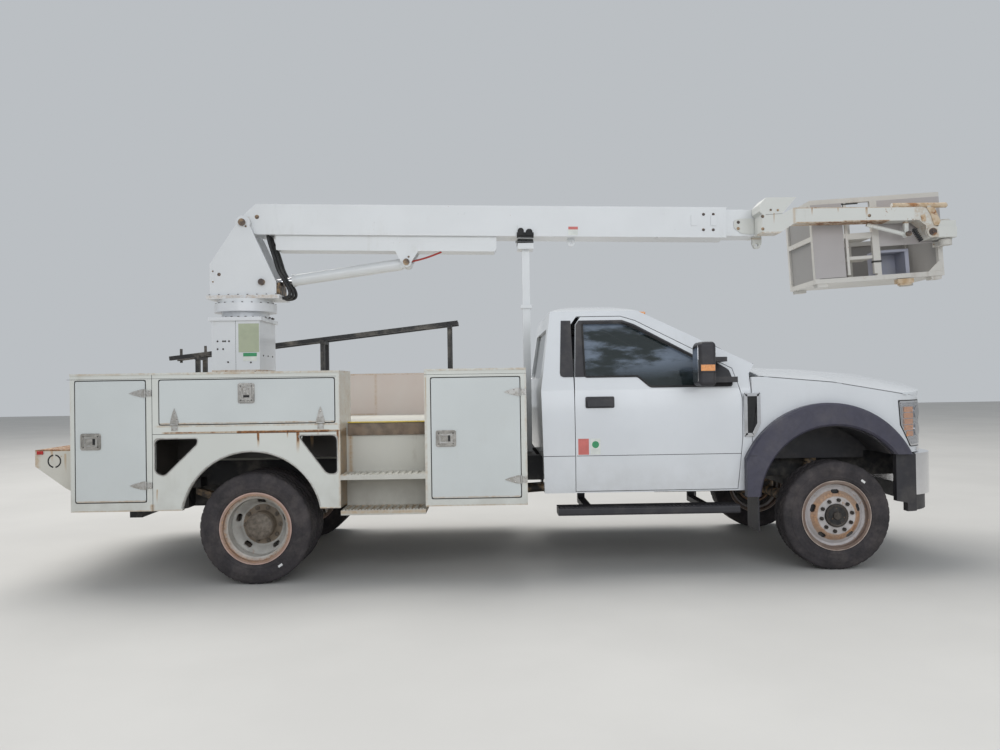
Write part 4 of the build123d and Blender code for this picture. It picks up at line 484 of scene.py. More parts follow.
class Shape:
    """A mesh made from simple solids, in millimetres from the rear axle."""

    def __init__(self):
        self.bm = bmesh.new()

    def prism(self, loop, push):
        """The closed solid swept from a loop of points by the vector push."""
        low = [self.bm.verts.new(at(*p)) for p in loop]
        move = Vector(push) * MM
        high = [self.bm.verts.new(v.co + move) for v in low]
        count = len(low)
        self.bm.faces.new(low)
        self.bm.faces.new(high[::-1])
        for i in range(count):
            j = (i + 1) % count
            self.bm.faces.new((low[j], low[i], high[i], high[j]))
        return self

    def plate(self, outline, y0, y1):
        """A flat plate whose outline is (x, z) points."""
        return self.prism([(x, y0, z) for x, z in outline], (0, y1 - y0, 0))

    def block(self, x, y, z):
        return self.plate(rectangle(x, z), y[0], y[1])

    def bar(self, start, end, radius, sides=20, end_radius=None):
        """A round bar or cone between two points."""
        low, high = at(*start), at(*end)
        axis = (high - low).normalized()
        side = axis.orthogonal().normalized()
        other = axis.cross(side)
        last = radius if end_radius is None else end_radius
        loops = []
        for centre, size in ((low, radius), (high, last)):
            angles = (2 * math.pi * i / sides for i in range(sides))
            loops.append([self.bm.verts.new(centre + (side * math.cos(a) + other * math.sin(a)) * size * MM)
                          for a in angles])
        self.bm.faces.new(loops[0][::-1])
        self.bm.faces.new(loops[1])
        for i in range(sides):
            j = (i + 1) % sides
            self.bm.faces.new((loops[0][i], loops[0][j], loops[1][j], loops[1][i]))
        return self

    def nut(self, place, direction, size, height):
        """A hexagon nut with a rounded stud end on its face."""
        x, y, z = place
        reach = Vector(direction) * height
        self.bar(place, (x + reach.x, y + reach.y, z + reach.z), size, 6)
        tip = Vector(direction) * (height + size * 0.45)
        self.bar((x + reach.x * 0.9, y + reach.y * 0.9, z + reach.z * 0.9),
                 (x + tip.x, y + tip.y, z + tip.z), size * 0.52, 12, size * 0.40)
        return self

    def dome(self, place, direction, radius, height):
        """A round bolt head, domed."""
        axis = Vector(direction)
        steps = 4
        for i in range(steps):
            a0, a1 = (math.pi / 2 * k / steps for k in (i, i + 1))
            p0 = Vector(place) + axis * height * math.sin(a0)
            p1 = Vector(place) + axis * height * math.sin(a1)
            self.bar(tuple(p0), tuple(p1), radius * math.cos(a0), 12, max(radius * math.cos(a1), 0.3))
        return self

    def ring(self, outer, inner, push):
        """A closed frame between two loops of the same number of points, pushed by a vector."""
        move = Vector(push) * MM
        rings = [[self.bm.verts.new(at(*p)) for p in loop] for loop in (outer, inner)]
        rings += [[self.bm.verts.new(v.co + move) for v in loop] for loop in rings[:2]]
        count = len(outer)
        for i in range(count):
            j = (i + 1) % count
            for a, b in ((0, 1), (1, 3), (3, 2), (2, 0)):
                self.bm.faces.new((rings[a][i], rings[a][j], rings[b][j], rings[b][i]))
        return self

    def lathe(self, centre, axis_y, profile, segments, radius_at=None):
        """A closed ring turned about a line along Y: profile is (offset along Y, radius) points."""
        loops = []
        for k in range(segments):
            angle = 2 * math.pi * k / segments
            loop = []
            for offset, radius in profile:
                r = radius_at(offset, radius, k) if radius_at else radius
                x, z = centre[0] + r * math.cos(angle), centre[2] + r * math.sin(angle)
                loop.append(self.bm.verts.new(at(x, centre[1] + offset * axis_y, z)))
            loops.append(loop)
        count = len(profile)
        for k in range(segments):
            a, b = loops[k], loops[(k + 1) % segments]
            for i in range(count):
                j = (i + 1) % count
                self.bm.faces.new((a[i], a[j], b[j], b[i]))
        return self

    def skin(self, outline, surface, lift, thick, step=400, hole=None):
        """Lays an (x, z) outline on a surface, lifted from it, and gives it thickness outward.

        The surface is a plane's y, or a function of x and z that is followed in steps.
        """
        work = bmesh.new()
        outer = [work.verts.new((x, 0, z)) for x, z in outline]
        if hole:
            inner = [work.verts.new((x, 0, z)) for x, z in hole]
            for i in range(len(outer)):
                j = (i + 1) % len(outer)
                work.faces.new((outer[i], outer[j], inner[j], inner[i]))
        else:
            work.faces.new(outer)
            bmesh.ops.triangulate(work, faces=work.faces[:])
        if callable(surface):
            cut_across(work, 0, step)
            cut_across(work, 2, step)
        under = {}
        for v in work.verts:
            y = surface(v.co.x, v.co.z) if callable(surface) else surface
            under[v] = [self.bm.verts.new(at(v.co.x, y - reach, v.co.z)) for reach in (lift, lift + thick)]
        for face in work.faces:
            self.bm.faces.new([under[v][1] for v in face.verts])
            self.bm.faces.new([under[v][0] for v in reversed(face.verts)])
        for edge in work.edges:
            if len(edge.link_faces) == 1:
                a, b = edge.verts
                self.bm.faces.new((under[a][0], under[b][0], under[b][1], under[a][1]))
        work.free()
        return self

    def laid(self):
        """Turns what was drawn level onto the boom's line."""
        turn = Matrix.Rotation(math.radians(BOOM_SLOPE), 4, "Y")
        pin = at(*LUFF_PIN)
        for v in self.bm.verts:
            v.co = turn @ (v.co - pin) + pin
        return self

    def in_basket(self):
        """Places what was drawn from the basket's low rear near corner."""
        turn = Matrix.Rotation(math.radians(-BASKET_TILT), 4, "Y")
        start = at(0, 0, 0)
        for v in self.bm.verts:
            v.co = turn @ (v.co - start) + at(*BASKET_CORNER)
        return self

    def made(self, name, material, body, slot, **more):
        bmesh.ops.recalc_face_normals(self.bm, faces=self.bm.faces[:])
        mesh = bpy.data.meshes.new(name)
        self.bm.to_mesh(mesh)
        self.bm.free()
        return finish_piece(name, mesh, material, body, slot, **more)

    def made_on(self, side, name, material, body, slot, **more):
        """Makes one side's piece. It is drawn on the right, so the left one is mirrored."""
        if side == "left":
            for v in self.bm.verts:
                v.co.y = -v.co.y
        return self.made(f"{name}_{side}", material, body, slot, **more)


def rounded(points, radius, steps=4):
    """The outline with each corner cut to a round of the given radius."""
    out = []
    count = len(points)
    for i in range(count):
        here = Vector(points[i])
        before = Vector(points[i - 1]) - here
        after = Vector(points[(i + 1) % count]) - here
        reach = min(radius, before.length * 0.45, after.length * 0.45)
        start = here + before.normalized() * reach
        end = here + after.normalized() * reach
        for k in range(steps + 1):
            t = k / steps
            out.append(tuple(start * (1 - t) ** 2 + here * 2 * t * (1 - t) + end * t * t))
    return out


def rectangle(x, z):
    return [(x[0], z[0]), (x[1], z[0]), (x[1], z[1]), (x[0], z[1])]


def grown(outline, amount):
    """The outline moved outward by amount at each point, or inward if it is negative."""
    area = sum(a[0] * b[1] - b[0] * a[1] for a, b in zip(outline, outline[1:] + outline[:1]))
    turn = 1 if area > 0 else -1
    out = []
    count = len(outline)
    for i in range(count):
        here = Vector(outline[i])
        d0 = here - Vector(outline[i - 1])
        d1 = Vector(outline[(i + 1) % count]) - here
        if d0.length < 1e-6 or d1.length < 1e-6:
            out.append(tuple(here))
            continue
        n0 = Vector((d0.y, -d0.x)).normalized() * turn
        n1 = Vector((d1.y, -d1.x)).normalized() * turn
        middle = n0 + n1
        middle = middle / max(0.25, middle.length_squared / 2)
        out.append(tuple(here + middle * amount))
    return out


def cab_side_y(x, z):
    """Where the cab's right side is at a height."""
    belt, edge = 1372, 1985
    if z > belt:
        return -998 + (z - belt) * (998 - 770) / (edge - belt)
    share = (z - 1000) / 400
    return -1016 + 18.5 * share * share


def fender_y(x, z):
    """Where the right fender and lamp are, from above: flat, then round the front corner."""
    if x <= 4760:
        return -1016
    a, b, c = Vector((4760, -1016)), Vector((4955, -926)), Vector((5095, -640))
    aa, bb, cc = (v.length_squared for v in (a, b, c))
    double_area = 2 * (a.x * (b.y - c.y) + b.x * (c.y - a.y) + c.x * (a.y - b.y))
    middle_x = (aa * (b.y - c.y) + bb * (c.y - a.y) + cc * (a.y - b.y)) / double_area
    middle_y = (aa * (c.x - b.x) + bb * (a.x - c.x) + cc * (b.x - a.x)) / double_area
    radius = (a - Vector((middle_x, middle_y))).length
    reach = min(abs(x - middle_x), radius * 0.999)
    return middle_y - math.sqrt(radius * radius - reach * reach)


def hose(name, points, radius, material, body, slot, crossing=None):
    """A tube on a smooth line, fixed at both ends; crossing, (body, start, end), is not used, and with it the
    tube gets no body.
    """
    curve = bpy.data.curves.new(name, "CURVE")
    curve.dimensions = "3D"
    curve.bevel_depth = radius * MM
    curve.bevel_resolution = 3
    curve.resolution_u = 8
    spline = curve.splines.new("NURBS")
    spline.points.add(len(points) - 1)
    for point, place in zip(spline.points, points):
        point.co = (*at(*place), 1)
    spline.order_u = 3
    spline.use_endpoint_u = True
    carrier = bpy.data.objects.new(name + "_line", curve)
    bpy.context.scene.collection.objects.link(carrier)
    mesh = bpy.data.meshes.new_from_object(carrier.evaluated_get(bpy.context.evaluated_depsgraph_get()))
    bpy.data.objects.remove(carrier)
    bpy.data.curves.remove(curve)
    if not crossing:
        return finish_piece(name, mesh, material, body, slot, smooth=60)
    piece = bpy.data.objects.new(name, mesh)
    bpy.context.scene.collection.objects.link(piece)
    mesh.materials.append(material)
    for face in mesh.polygons:
        face.use_smooth = True
    other, start, end = crossing
    tuple(at(*start))
    tuple(at(*end))
    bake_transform(piece)
    return piece


# Tyres: ribs, shoulder blocks and side rings
TREAD_EDGES = (0, 7, 24, 25, 33, 34, 54, 55, 63, 64, 85)
TREAD_GROOVES = ((24.5, 33.5), (54.5, 63.5))


def tyre_profile():
    outer = [(offset, AXLE_Z) for offset in TREAD_EDGES]
    outer += [(92, 402.5), (99, 396), (103, 388), (106, 372), (109.5, 352), (110.6, 346), (112.4, 345),
              (112.4, 336), (112.2, 322), (110.2, 306), (107.5, 292), (108.4, 288), (105, 284),
              (103, 276), (99.5, 268), (92.5, 262.5), (91.7, 247.4)]
    inner = [(-offset, radius) for offset, radius in outer[1:]]
    return inner[::-1] + outer


def tread_radius(offset, radius, k):
    """The tread's radius at one of its angles: two grooves, and cuts in the ribs between them."""
    reach = abs(offset)
    first, second = TREAD_GROOVES
    if radius > 404:
        if first[0] < reach < first[1] or second[0] < reach < second[1]:
            return radius - 9
        if reach < first[0] and k % 5 == 0:
            return radius - 4
        if first[1] < reach < second[0] and (k + 2) % 5 == 0:
            return radius - 5
    if radius > 401 and reach > second[1] and k % 5 == 0:
        return radius - 4
    return radius


def turned(x, y, sign, profile, segments):
    """A ring round a wheel's axle; y is its distance from the middle plane."""
    return Shape().lathe((x, sign * y, AXLE_Z), sign, profile, segments)


def around(x, y, radius, degrees):
    """A place at a radius and an angle round an axle."""
    a = math.radians(degrees)
    return (x + radius * math.cos(a), y, AXLE_Z + radius * math.sin(a))


for side, sign in SIDES:
    front = Shape().lathe((WHEELBASE, sign * FRONT_TYRE_Y, AXLE_Z), 1, tyre_profile(), 200, tread_radius)
    front = front.made(f"tyre_tread_front_{side}", tyre_black, f"wheel_front_{side}", "tyre", smooth=35)
    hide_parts(f"tyre_front_{side}")
    twins = Shape()
    for y in TWIN_TYRES_Y:
        twins.lathe((0, sign * y, AXLE_Z), 1, tyre_profile(), 200, tread_radius)
    twins = twins.made(f"tyre_tread_rear_{side}", tyre_black, f"wheels_rear_{side}", "tyre", smooth=35)
    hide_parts(f"tyres_rear_{side}")

for side, sign in SIDES:
    # Front: ten nuts on a pale ring, the open hub's rim, and the brake drum behind the holes
    outward = (0, sign, 0)
    wheel = f"wheel_front_{side}"
    nuts = Shape()
    for k in range(10):
        nuts.nut(around(WHEELBASE, sign * 1043, 117, 36 * k + 10), outward, 15, 17)
    nuts.made(f"nuts_front_{side}", nut_dark, wheel, "iron", smooth=25)
    ring = turned(WHEELBASE, 1042, sign, ((-1, 89), (1.6, 89), (1.6, 140), (-1, 140)), 64)
    ring.made(f"nut_ring_{side}", front_rim, wheel, "wheel_paint")
    hub = turned(WHEELBASE, 1040, sign,
                 ((0, 68), (17, 68), (19, 72), (19, 82), (16, 86), (0, 86)), 48)
    hub.bar((WHEELBASE, sign * 1054, AXLE_Z), (WHEELBASE, sign * 1066, AXLE_Z), 34, 32, 28)
    hub.made(f"hub_rim_{side}", nut_dark, wheel, "iron")
    drum = turned(WHEELBASE, 985, sign, ((-40, 100), (-40, 205), (20, 205), (20, 100)), 40)
    drum.made(f"brake_drum_{side}", frame_black, wheel, "iron")
    # Rear: nuts round a domed hub
    twin_wheels = f"wheels_rear_{side}"
    nuts = Shape()
    for k in range(10):
        nuts.nut(around(0, sign * 960, 128, 36 * k), outward, 16, 20)
    nuts.made(f"nuts_rear_{side}", hub_dust, twin_wheels, "iron", smooth=25)
    cap = turned(0, 1064, sign, ((0, 0.5), (0, 98), (16, 96), (24, 84), (28, 60), (30, 0.5)), 48)
    for k in range(8):
        cap.dome(around(0, sign * 1082, 82, 45 * k), outward, 7, 8)
    cap.made(f"hub_cap_{side}", hub_dust, twin_wheels, "iron", smooth=40)
    # A small white mark on each outer sidewall
    for where, x, y, degrees, body in (("front", WHEELBASE, FRONT_TYRE_Y, 52, wheel),
                                       ("rear", 0, TWIN_TYRES_Y[1], -56, twin_wheels)):
        angle = math.radians(degrees)
        along = Vector((-math.sin(angle), 0, math.cos(angle)))
        out = Vector((math.cos(angle), 0, math.sin(angle)))
        middle = Vector(around(x, sign * (y + 111.5), 322, degrees))
        corners = [middle + along * u + out * v for u, v in ((-17, -8), (17, -8), (17, 8), (-17, 8))]
        mark = Shape().prism([tuple(c) for c in corners], (0, sign * 1.6, 0))
        mark.made(f"tyre_mark_{where}_{side}", mark_white, body, "tyre")


# Cab side: window frame, pillar cover, sail panel, handle, labels, body lines and vent
WINDOW = [(2440, 1474), (2840, 1474), (2930, 1392), (3530, 1392), (3440, 1520), (2830, 1858), (2740, 1888),
          (2440, 1888)]
REAR_PILLAR = [(2363, 1472), (2437, 1472), (2437, 1912), (2414, 1912), (2389, 1878)]
WINDOW_TOP = [(2437, 1886), (2742, 1886), (2832, 1857), (3442, 1520), (3452, 1532), (2846, 1876),
              (2752, 1912), (2437, 1912)]
SAIL_PANEL = [(3310, 1384), (3548, 1384), (3557, 1440), (3536, 1512), (3470, 1554), (3372, 1604)]
CAB_PILLAR = [(2275, 1472), (2351, 1472), (2351, 1912), (2276, 1912), (2250, 1505), (2254, 1482)]
VENT = [(3624, 1006), (3700, 1006), (3748, 1100), (3748, 1334), (3624, 1334)]
for side in ("right", "left"):
    door = f"door_{side}"
    inner = rounded(WINDOW, 18)
    seal = Shape().skin(grown(inner, 9), cab_side_y, -3, 6, hole=grown(inner, -6))
    seal.made_on(side, "window_seal", seal_black, door, "black_trim")
    dark = Shape().skin(rounded(REAR_PILLAR, 3), cab_side_y, -1, 4)
    dark.skin(WINDOW_TOP, cab_side_y, -1, 4)
    dark.skin(rounded(SAIL_PANEL, 16), cab_side_y, -1, 6)
    dark.made_on(side, "door_dark_panels", black_plastic, door, "black_trim", bevel=1.2)
    post = Shape().skin(rounded(CAB_PILLAR, 4), cab_side_y, -1, 4)
    post.made_on(side, "pillar_cover", black_plastic, "chassis", "black_trim", bevel=1.2)
    handle = Shape().skin(rounded(rectangle((2434, 2652), (1236, 1322)), 14), cab_side_y, 0.2, 4, 60)
    handle.skin(rounded(rectangle((2446, 2640), (1248, 1300)), 12), cab_side_y, 4, 26, 60)
    handle.made_on(side, "door_handle", black_plastic, door, "black_trim", bevel=3)
    if side == "right":
        for name, x, material in (("red", (2374, 2454), label_red), ("pale", (2467, 2541), sticker_white)):
            label = Shape().skin(rectangle(x, (888, 1008)), cab_side_y, 0.1, 0.8)
            label.made(f"door_label_{name}", material, door, "cab_paint", smooth=0)
        label = Shape().bar((2504, -1014.5, 963), (2504, -1018.5, 963), 26, 28)
        label.made("door_label_round", sticker_green, door, "cab_paint", smooth=0)
    for name, x, body in (("cab", (2110, 2349), "chassis"), ("door", (2362, 3602), door)):
        line = Shape().skin(rectangle(x, (877, 881)), cab_side_y, -0.5, 1.0)
        line.made_on(side, f"side_line_{name}", seal_black, body, "cab_paint", smooth=0)
    rim = rounded(VENT, 10)
    vent = Shape().skin(rim, fender_y, 0.2, 14, hole=grown(rim, -26))
    vent.made_on(side, "fender_vent", chrome, "chassis", "chrome", bevel=3)
    insert = Shape().skin(grown(rim, -22), fender_y, 0.2, 5)
    for z in range(1060, 1300, 28):
        insert.skin(rectangle((3656, 3712), (z, z + 8)), fender_y, 5, 3)
    insert.made_on(side, "vent_insert", seal_black, "chassis", "black_trim")

# Front end: lamps, bumper fittings, wipers and cowl
LAMP = rounded([(4806, 1254), (5084, 1254), (5084, 912), (4912, 912), (4820, 1072)], 10)
LAMP_STEP = 20
HOOK_OUTER = rounded([(360, 570), (430, 570), (430, 650), (360, 650)], 30)
HOOK_INNER = rounded([(378, 588), (412, 588), (412, 632), (378, 632)], 14)
for side, sign in SIDES:
    bezel = Shape().skin(LAMP, fender_y, 0.4, 5, LAMP_STEP, hole=grown(LAMP, -15))
    bezel.made_on(side, "lamp_frame", chrome, "chassis", "chrome")
    gap = Shape().skin(grown(LAMP, 7), fender_y, -1.5, 3.4, LAMP_STEP, hole=grown(LAMP, -3))
    gap.made_on(side, "lamp_gap", seal_black, "chassis", "black_trim")
    marker = Shape()
    for low in range(985, 1170, 46):
        inset = max(0, 1030 - low) * 0.45
        marker.skin(rectangle((4850 + inset, 4944), (low, low + 40)), fender_y, 2, 5, LAMP_STEP)
    marker.made_on(side, "lamp_marker", amber, "chassis", "lamp_lens", smooth=40)
    lens = Shape().skin(grown(LAMP, -14), fender_y, 8, 2.5, LAMP_STEP)
    lens.made_on(side, "lamp_lens", lamp_clear, "chassis", "lamp_lens", smooth=60)
    strip = Shape().skin(rectangle((4985, 5090), (864, 902)), fender_y, 0.2, 4, LAMP_STEP)
    strip.made_on(side, "lamp_lower_strip", chrome, "chassis", "chrome")
    bowls = Shape()
    for x, z in ((4990, 1165), (4990, 1030)):
        y = fender_y(x, z)
        bowls.bar((x, y - 2, z), (x + 6, y - 8, z), 40, 24, 46)
    bowls.made_on(side, "lamp_bowls", chrome_rod, "chassis", "lamp_lens")
    fog = Shape().bar((5140, sign * 640, 640), (5174, sign * 640, 640), 52, 28)
    fog.made(f"fog_lamp_{side}", lamp_clear, "chassis", "lamp_lens")
    outer, inner = ([(5197, sign * y, z) for y, z in loop] for loop in (HOOK_OUTER, HOOK_INNER))
    hook = Shape().ring(outer, inner, (26, 0, 0))
    hook.made(f"tow_hook_{side}", frame_black, "chassis", "frame_black", bevel=4)
    seam = Shape().skin(rectangle((3646, 3700), (863, 866)), -1085, -0.3, 0.9)
    seam.made_on(side, "flare_seam_rear", seal_black, "chassis", "black_trim", smooth=0)
plate = Shape().block((5225.5, 5230), (-155, 155), (600, 755))
plate.made("front_plate", mark_white, "chassis", "chrome", bevel=2)
wipers = Shape()
for y0, y1 in ((-760, -120), (20, 660)):
    wipers.bar((3700, y1, 1562), (3420, y0 + 80, 1718), 7, 10)
    wipers.bar((3452, y0, 1712), (3404, y0 + 300, 1738), 9, 8)
    wipers.bar((3452, y0, 1712), (3530, y0 - 40, 1660), 8, 8)
wipers.made("wipers", black_plastic, "chassis", "black_trim")
cowl = Shape().block((3694, 3738), (-900, 900), (1552, 1558))
cowl.made("cowl_strip", black_plastic, "chassis", "black_trim", bevel=2)
lamps = Shape()
for y in (-560, -190, 0, 190, 560):
    lamps.block((2905, 2975), (y - 45, y + 45), (1968, 1992))
lamps.made("roof_markers", amber, "chassis", "lamp_lens", bevel=8)

# Mirrors: glass, amber marker, and the seam of the cap
MIRROR_GLASS = rounded(rectangle((1122, 1272), (1420, 1684)), 22)
for side, sign in SIDES:
    door = f"door_{side}"
    face = Shape().prism([(3223, sign * y, z) for y, z in MIRROR_GLASS], (-2.5, 0, 0))
    face.made(f"mirror_glass_{side}", chrome_rod, door, "glass")
    marker = Shape().block((3236, 3338), (sign * 1297, sign * 1304), (1500, 1545))
    marker.made(f"mirror_marker_{side}", amber, door, "lamp_lens", bevel=2.5)
    seam = Shape().block((3222, 3353), (sign * 1092, sign * 1302), (1486, 1489))
    seam.made(f"mirror_seam_{side}", seal_black, door, "black_trim", smooth=0)

# Service body: door gaskets, latches, hinge screws, seams, pocket edges and the arch's lip
# Each door: its spans in X and Z, its hinged edge, the hinges' places along it, and the latch's middle
DOORS = {
    "rear": ((-1270, -770), (619, 1490), "front", (735, 1400), (-1160, 1056)),
    "over_wheel": ((-668, 590), (1172, 1490), "bottom", (-560, 490), (-42, 1390)),
    "front": ((1290, 1932), (608, 1478), "front", (735, 1370), (1394, 1040)),
    "middle": ((677, 1191), (608, 1478), "front", (735, 1370), (780, 1040)),
}
POCKETS = (
    [(-702, 1066), (-400, 1066), (-402, 1030), (-640, 800), (-702, 830)],
    [(604, 1076), (332, 1076), (362, 1030), (532, 800), (604, 800)],
)
SEAMS = (((-723, -720), (549, 1545)), ((-720, 604), (1100, 1103)), ((-1332, 606), (1503, 1505)),
         ((1240, 1980), (1503, 1505)))
ARCH_X, ARCH_Z, ARCH_RADIUS = -16, 461, 508


def panel_frame(x, z, outside, inside):
    """The outer and inner outlines of a rounded frame round a rectangle."""
    outer = rounded(rectangle((x[0] - outside, x[1] + outside), (z[0] - outside, z[1] + outside)), 18, 3)
    inner = rounded(rectangle((x[0] - inside, x[1] + inside), (z[0] - inside, z[1] + inside)), 16, 3)
    return outer, inner


def latch(middle, upright, body, name, side):
    """A paddle latch: its pressed frame, its paddle and the dark slot beside it."""
    x, z = middle
    wide, tall = (60, 73) if upright else (73, 60)
    outer = rounded(rectangle((x - wide, x + wide), (z - tall, z + tall)), 17)
    frame_ring = Shape().skin(outer, -DOOR_FACE, -0.2, 7.5, hole=grown(outer, -20))
    frame_ring.skin(grown(outer, -3), -DOOR_FACE - 7, 0, 3.5, hole=grown(outer, -10))
    frame_ring.skin(grown(outer, -20), -DOOR_FACE - 7, -0.2, 3.0, hole=grown(outer, -26))
    frame_ring.made_on(side, f"latch_frame_{name}", stainless, body, "chrome", bevel=1.5)
    paddle_x, paddle_z = ((-22, 22), (-14, 38)) if upright else ((-38, 14), (-22, 22))
    slot_x, slot_z = ((-22, 22), (-31, -15)) if upright else ((15, 31), (-22, 22))
    for part, spans, reach, material, slot, more in (
            ("paddle", (paddle_x, paddle_z), 8, stainless, "chrome", {"bevel": 2}),
            ("slot", (slot_x, slot_z), 5, seal_black, "black_trim", {"smooth": 0})):
        (x0, x1), (z0, z1) = spans
        plate = Shape().block((x + x0, x + x1), (-DOOR_FACE - reach, -DOOR_FACE - 2), (z + z0, z + z1))
        plate.made_on(side, f"latch_{part}_{name}", material, body, slot, **more)


for side in ("right", "left"):
    for name, (x, z, edge, hinges, middle) in DOORS.items():
        if name == "middle" and side == "right":
            continue
        body = f"box_door_{name}_{side}"
        outer, inner = panel_frame(x, z, 7, 3)
        gasket = Shape().skin(outer, -BODY_FACE, -0.2, 1.2, hole=inner)
        gasket.made_on(side, f"gasket_{name}", seal_black, "chassis", "black_trim", smooth=0)
        latch(middle, edge == "bottom", body, name, side)
        screws = Shape()
        leaf_screws = Shape()
        for along in hinges:
            for shape, reach, spread, radius, height in (
                    (screws, -40, 17, 6, 4), (screws, -40, -17, 6, 4), (screws, -82, 0, 6, 4),
                    (leaf_screws, 33, -14, 5, 3.5), (leaf_screws, 33, 14, 5, 3.5)):
                u, v = (x[1] + reach, along + spread) if edge == "front" else (along + spread, z[0] - reach)
                shape.dome((u, -HINGE_FACE, v), (0, -1, 0), radius, height)
        screws.made_on(side, f"hinge_screws_{name}", stainless, body, "chrome", smooth=40)
        leaf_screws.made_on(side, f"leaf_screws_{name}", stainless, "chassis", "chrome", smooth=40)
    seams = Shape()
    for x, z in SEAMS:
        seams.skin(rectangle(x, z), -BODY_FACE, -0.3, 0.9)
    seams.made_on(side, "body_seams", seal_black, "chassis", "body_paint", smooth=0)
    for k, outline in enumerate(POCKETS, 1):
        hole = rounded(grown(outline, -2), 46, 6)
        lip = Shape().skin(rounded(grown(outline, 9), 34, 6), -BODY_FACE, -0.3, 1.6, hole=hole)
        lip.made_on(side, f"pocket_edge_{k}", frame_cream, "chassis", "body_paint", smooth=0)
        hole = rounded(grown(outline, -4), 46, 6)
        rim = Shape().skin(rounded(grown(outline, 1), 44, 6), -BODY_FACE, -0.3, 2.2, hole=hole)
        rim.made_on(side, f"pocket_rim_{k}", seal_black, "chassis", "black_trim", smooth=0)
    lip = Shape()
    for start in range(12, 168, 4):
        ends = [(ARCH_X + ARCH_RADIUS * math.cos(a), 2 - BODY_FACE, ARCH_Z + ARCH_RADIUS * math.sin(a))
                for a in (math.radians(start), math.radians(start + 4))]
        lip.bar(*ends, 7, 8)
    lip.made_on(side, "arch_lip", frame_cream, "chassis", "body_paint", smooth=60)

for side, sign in SIDES:
    ribs = Shape()
    for x in range(2226, 2226 + 44 * 30, 30):
        ribs.block((x, x + 14), (sign * 1010, sign * 1077), (498, 504))
    ribs.made(f"board_ribs_{side}", black_plastic, "chassis", "black_trim", smooth=0)

# Access steps, and the tail's marks, lamps and plate
board = Shape().block((640, 1236), (-945, -927.2), (1056, 1146))
board.made("step_board", board_brown, "chassis", "iron", bevel=3)
edging = Shape().block((640, 1236), (-948, -915), (1150.3, 1160))
edging.made("deck_edge", yellow_paint, "chassis", "body_paint", bevel=1.5)
teeth = Shape()
for top in (530, 785):
    for x in range(642, 642 + 26 * 23, 23):
        teeth.plate([(x, top), (x + 14, top), (x + 10, top + 7), (x + 4, top + 7)], -1208, -1196)
teeth.made("step_teeth", step_grey, "chassis", "iron", smooth=0)
for side, sign in SIDES:
    mark = Shape()
    for start in (100, 280):
        for k in range(16):
            a0, a1 = (math.radians(start + 10 * v) for v in (k, k + 1))
            corners = [(-1482 + reach * math.cos(a), 912 + reach * math.sin(a))
                       for reach, a in ((40, a0), (50, a0), (50, a1), (40, a1))]
            mark.plate(corners, sign * TAIL_FACE, sign * (TAIL_FACE + 1.2))
    mark.made(f"tail_ring_mark_{side}", seal_black, "chassis", "body_paint", smooth=0)
    lamp = Shape().block((-1606, -1560), (sign * TAIL_FACE, sign * (TAIL_FACE + 12)), (962, 988))
    lamp.made(f"tail_side_lamp_{side}", lens_red, "chassis", "tail_lens", bevel=3)
plate = Shape().block((-1626, -1622.2), (-155, 155), (885, 985))
plate.made("rear_plate", mark_white, "chassis", "chrome", bevel=1)
reflectors = Shape()
for side, sign in SIDES:
    reflectors.block((-1625, -1622.2), (sign * 900, sign * 1000), (915, 955))
reflectors.made("rear_reflectors", lens_red, "chassis", "tail_lens", bevel=2)

# Pedestal: placard, label, bolts and seam
placard = Shape().block((-376, -205), (-262.2, -260.2), (1726, 1966))
placard.made("pedestal_placard", placard_green, "chassis", "boom_paint", bevel=0.8)
label = Shape().block((-338, -225), (-261.6, -260.2), (1652, 1690))
label.made("pedestal_label", sticker_white, "chassis", "boom_paint")
label = Shape().block((-338, -225), (-262.2, -260.2), (1691, 1720))
label.made("pedestal_label_band", sticker_green, "chassis", "boom_paint")
bolts = Shape()
for x, z in ((-551, 1820), (-505, 1820), (-488, 1820), (-455, 1820), (-551, 1755), (-505, 1755), (-465, 1645),
             (-275, 1640), (-560, 1560), (-240, 1560)):
    bolts.dome((x, -PEDESTAL_FACE, z), (0, -1, 0), 8, 6)
for y in (-150, 0, 150):
    bolts.dome((-200, y, 1700), (1, 0, 0), 8, 6)
bolts.made("pedestal_bolts", nut_dark, "chassis", "iron", smooth=40)
seam = Shape().block((-401, -399), (-PEDESTAL_FACE - 0.6, -PEDESTAL_FACE), (1545, 1990))
seam.made("pedestal_seam", seal_black, "chassis", "boom_paint", smooth=0)
ring = Shape()
for count, offset, radius, z, size in ((24, 0, 228, 2022, 12), (20, 0.5, 249, 2146, 9)):
    for k in range(count):
        a = 2 * math.pi * (k + offset) / count
        ring.dome((-385 + radius * math.cos(a), radius * math.sin(a), z), (0, 0, 1), size, size)
ring.made("ring_bolts", nut_dark, "chassis", "iron", smooth=40)

# Turret: pins, bolts, lifting eye and the valve block behind the cheeks
pins = Shape()
for x, z, radius, reach in ((-356, 2829, 30, 208), (-199, 2322, 27, 202)):
    for sign in (-1, 1):
        pins.bar((x, sign * 170, z), (x, sign * reach, z), radius, 28)
for x, z, radius in ((-330, 2798, 9), (-560, 2392, 15), (-612, 2420, 7), (-612, 2330, 7)):
    for sign in (-1, 1):
        pins.dome((x, sign * 172, z), (0, sign, 0), radius, 8)
pins.made("turret_pins", rusty_pin, "turret", "iron", smooth=40)
outer, inner = ([(-575 + radius * math.cos(k * math.pi / 8), -12, 2636 + radius * math.sin(k * math.pi / 8))
                 for k in range(16)] for radius in (26, 12))
eye = Shape().ring(outer, inner, (0, 24, 0))
eye.plate([(-592, 2612), (-572, 2580), (-535, 2632), (-556, 2650)], -12, 12)
eye.made("turret_eye", turret_white, "turret", "boom_paint", bevel=2)
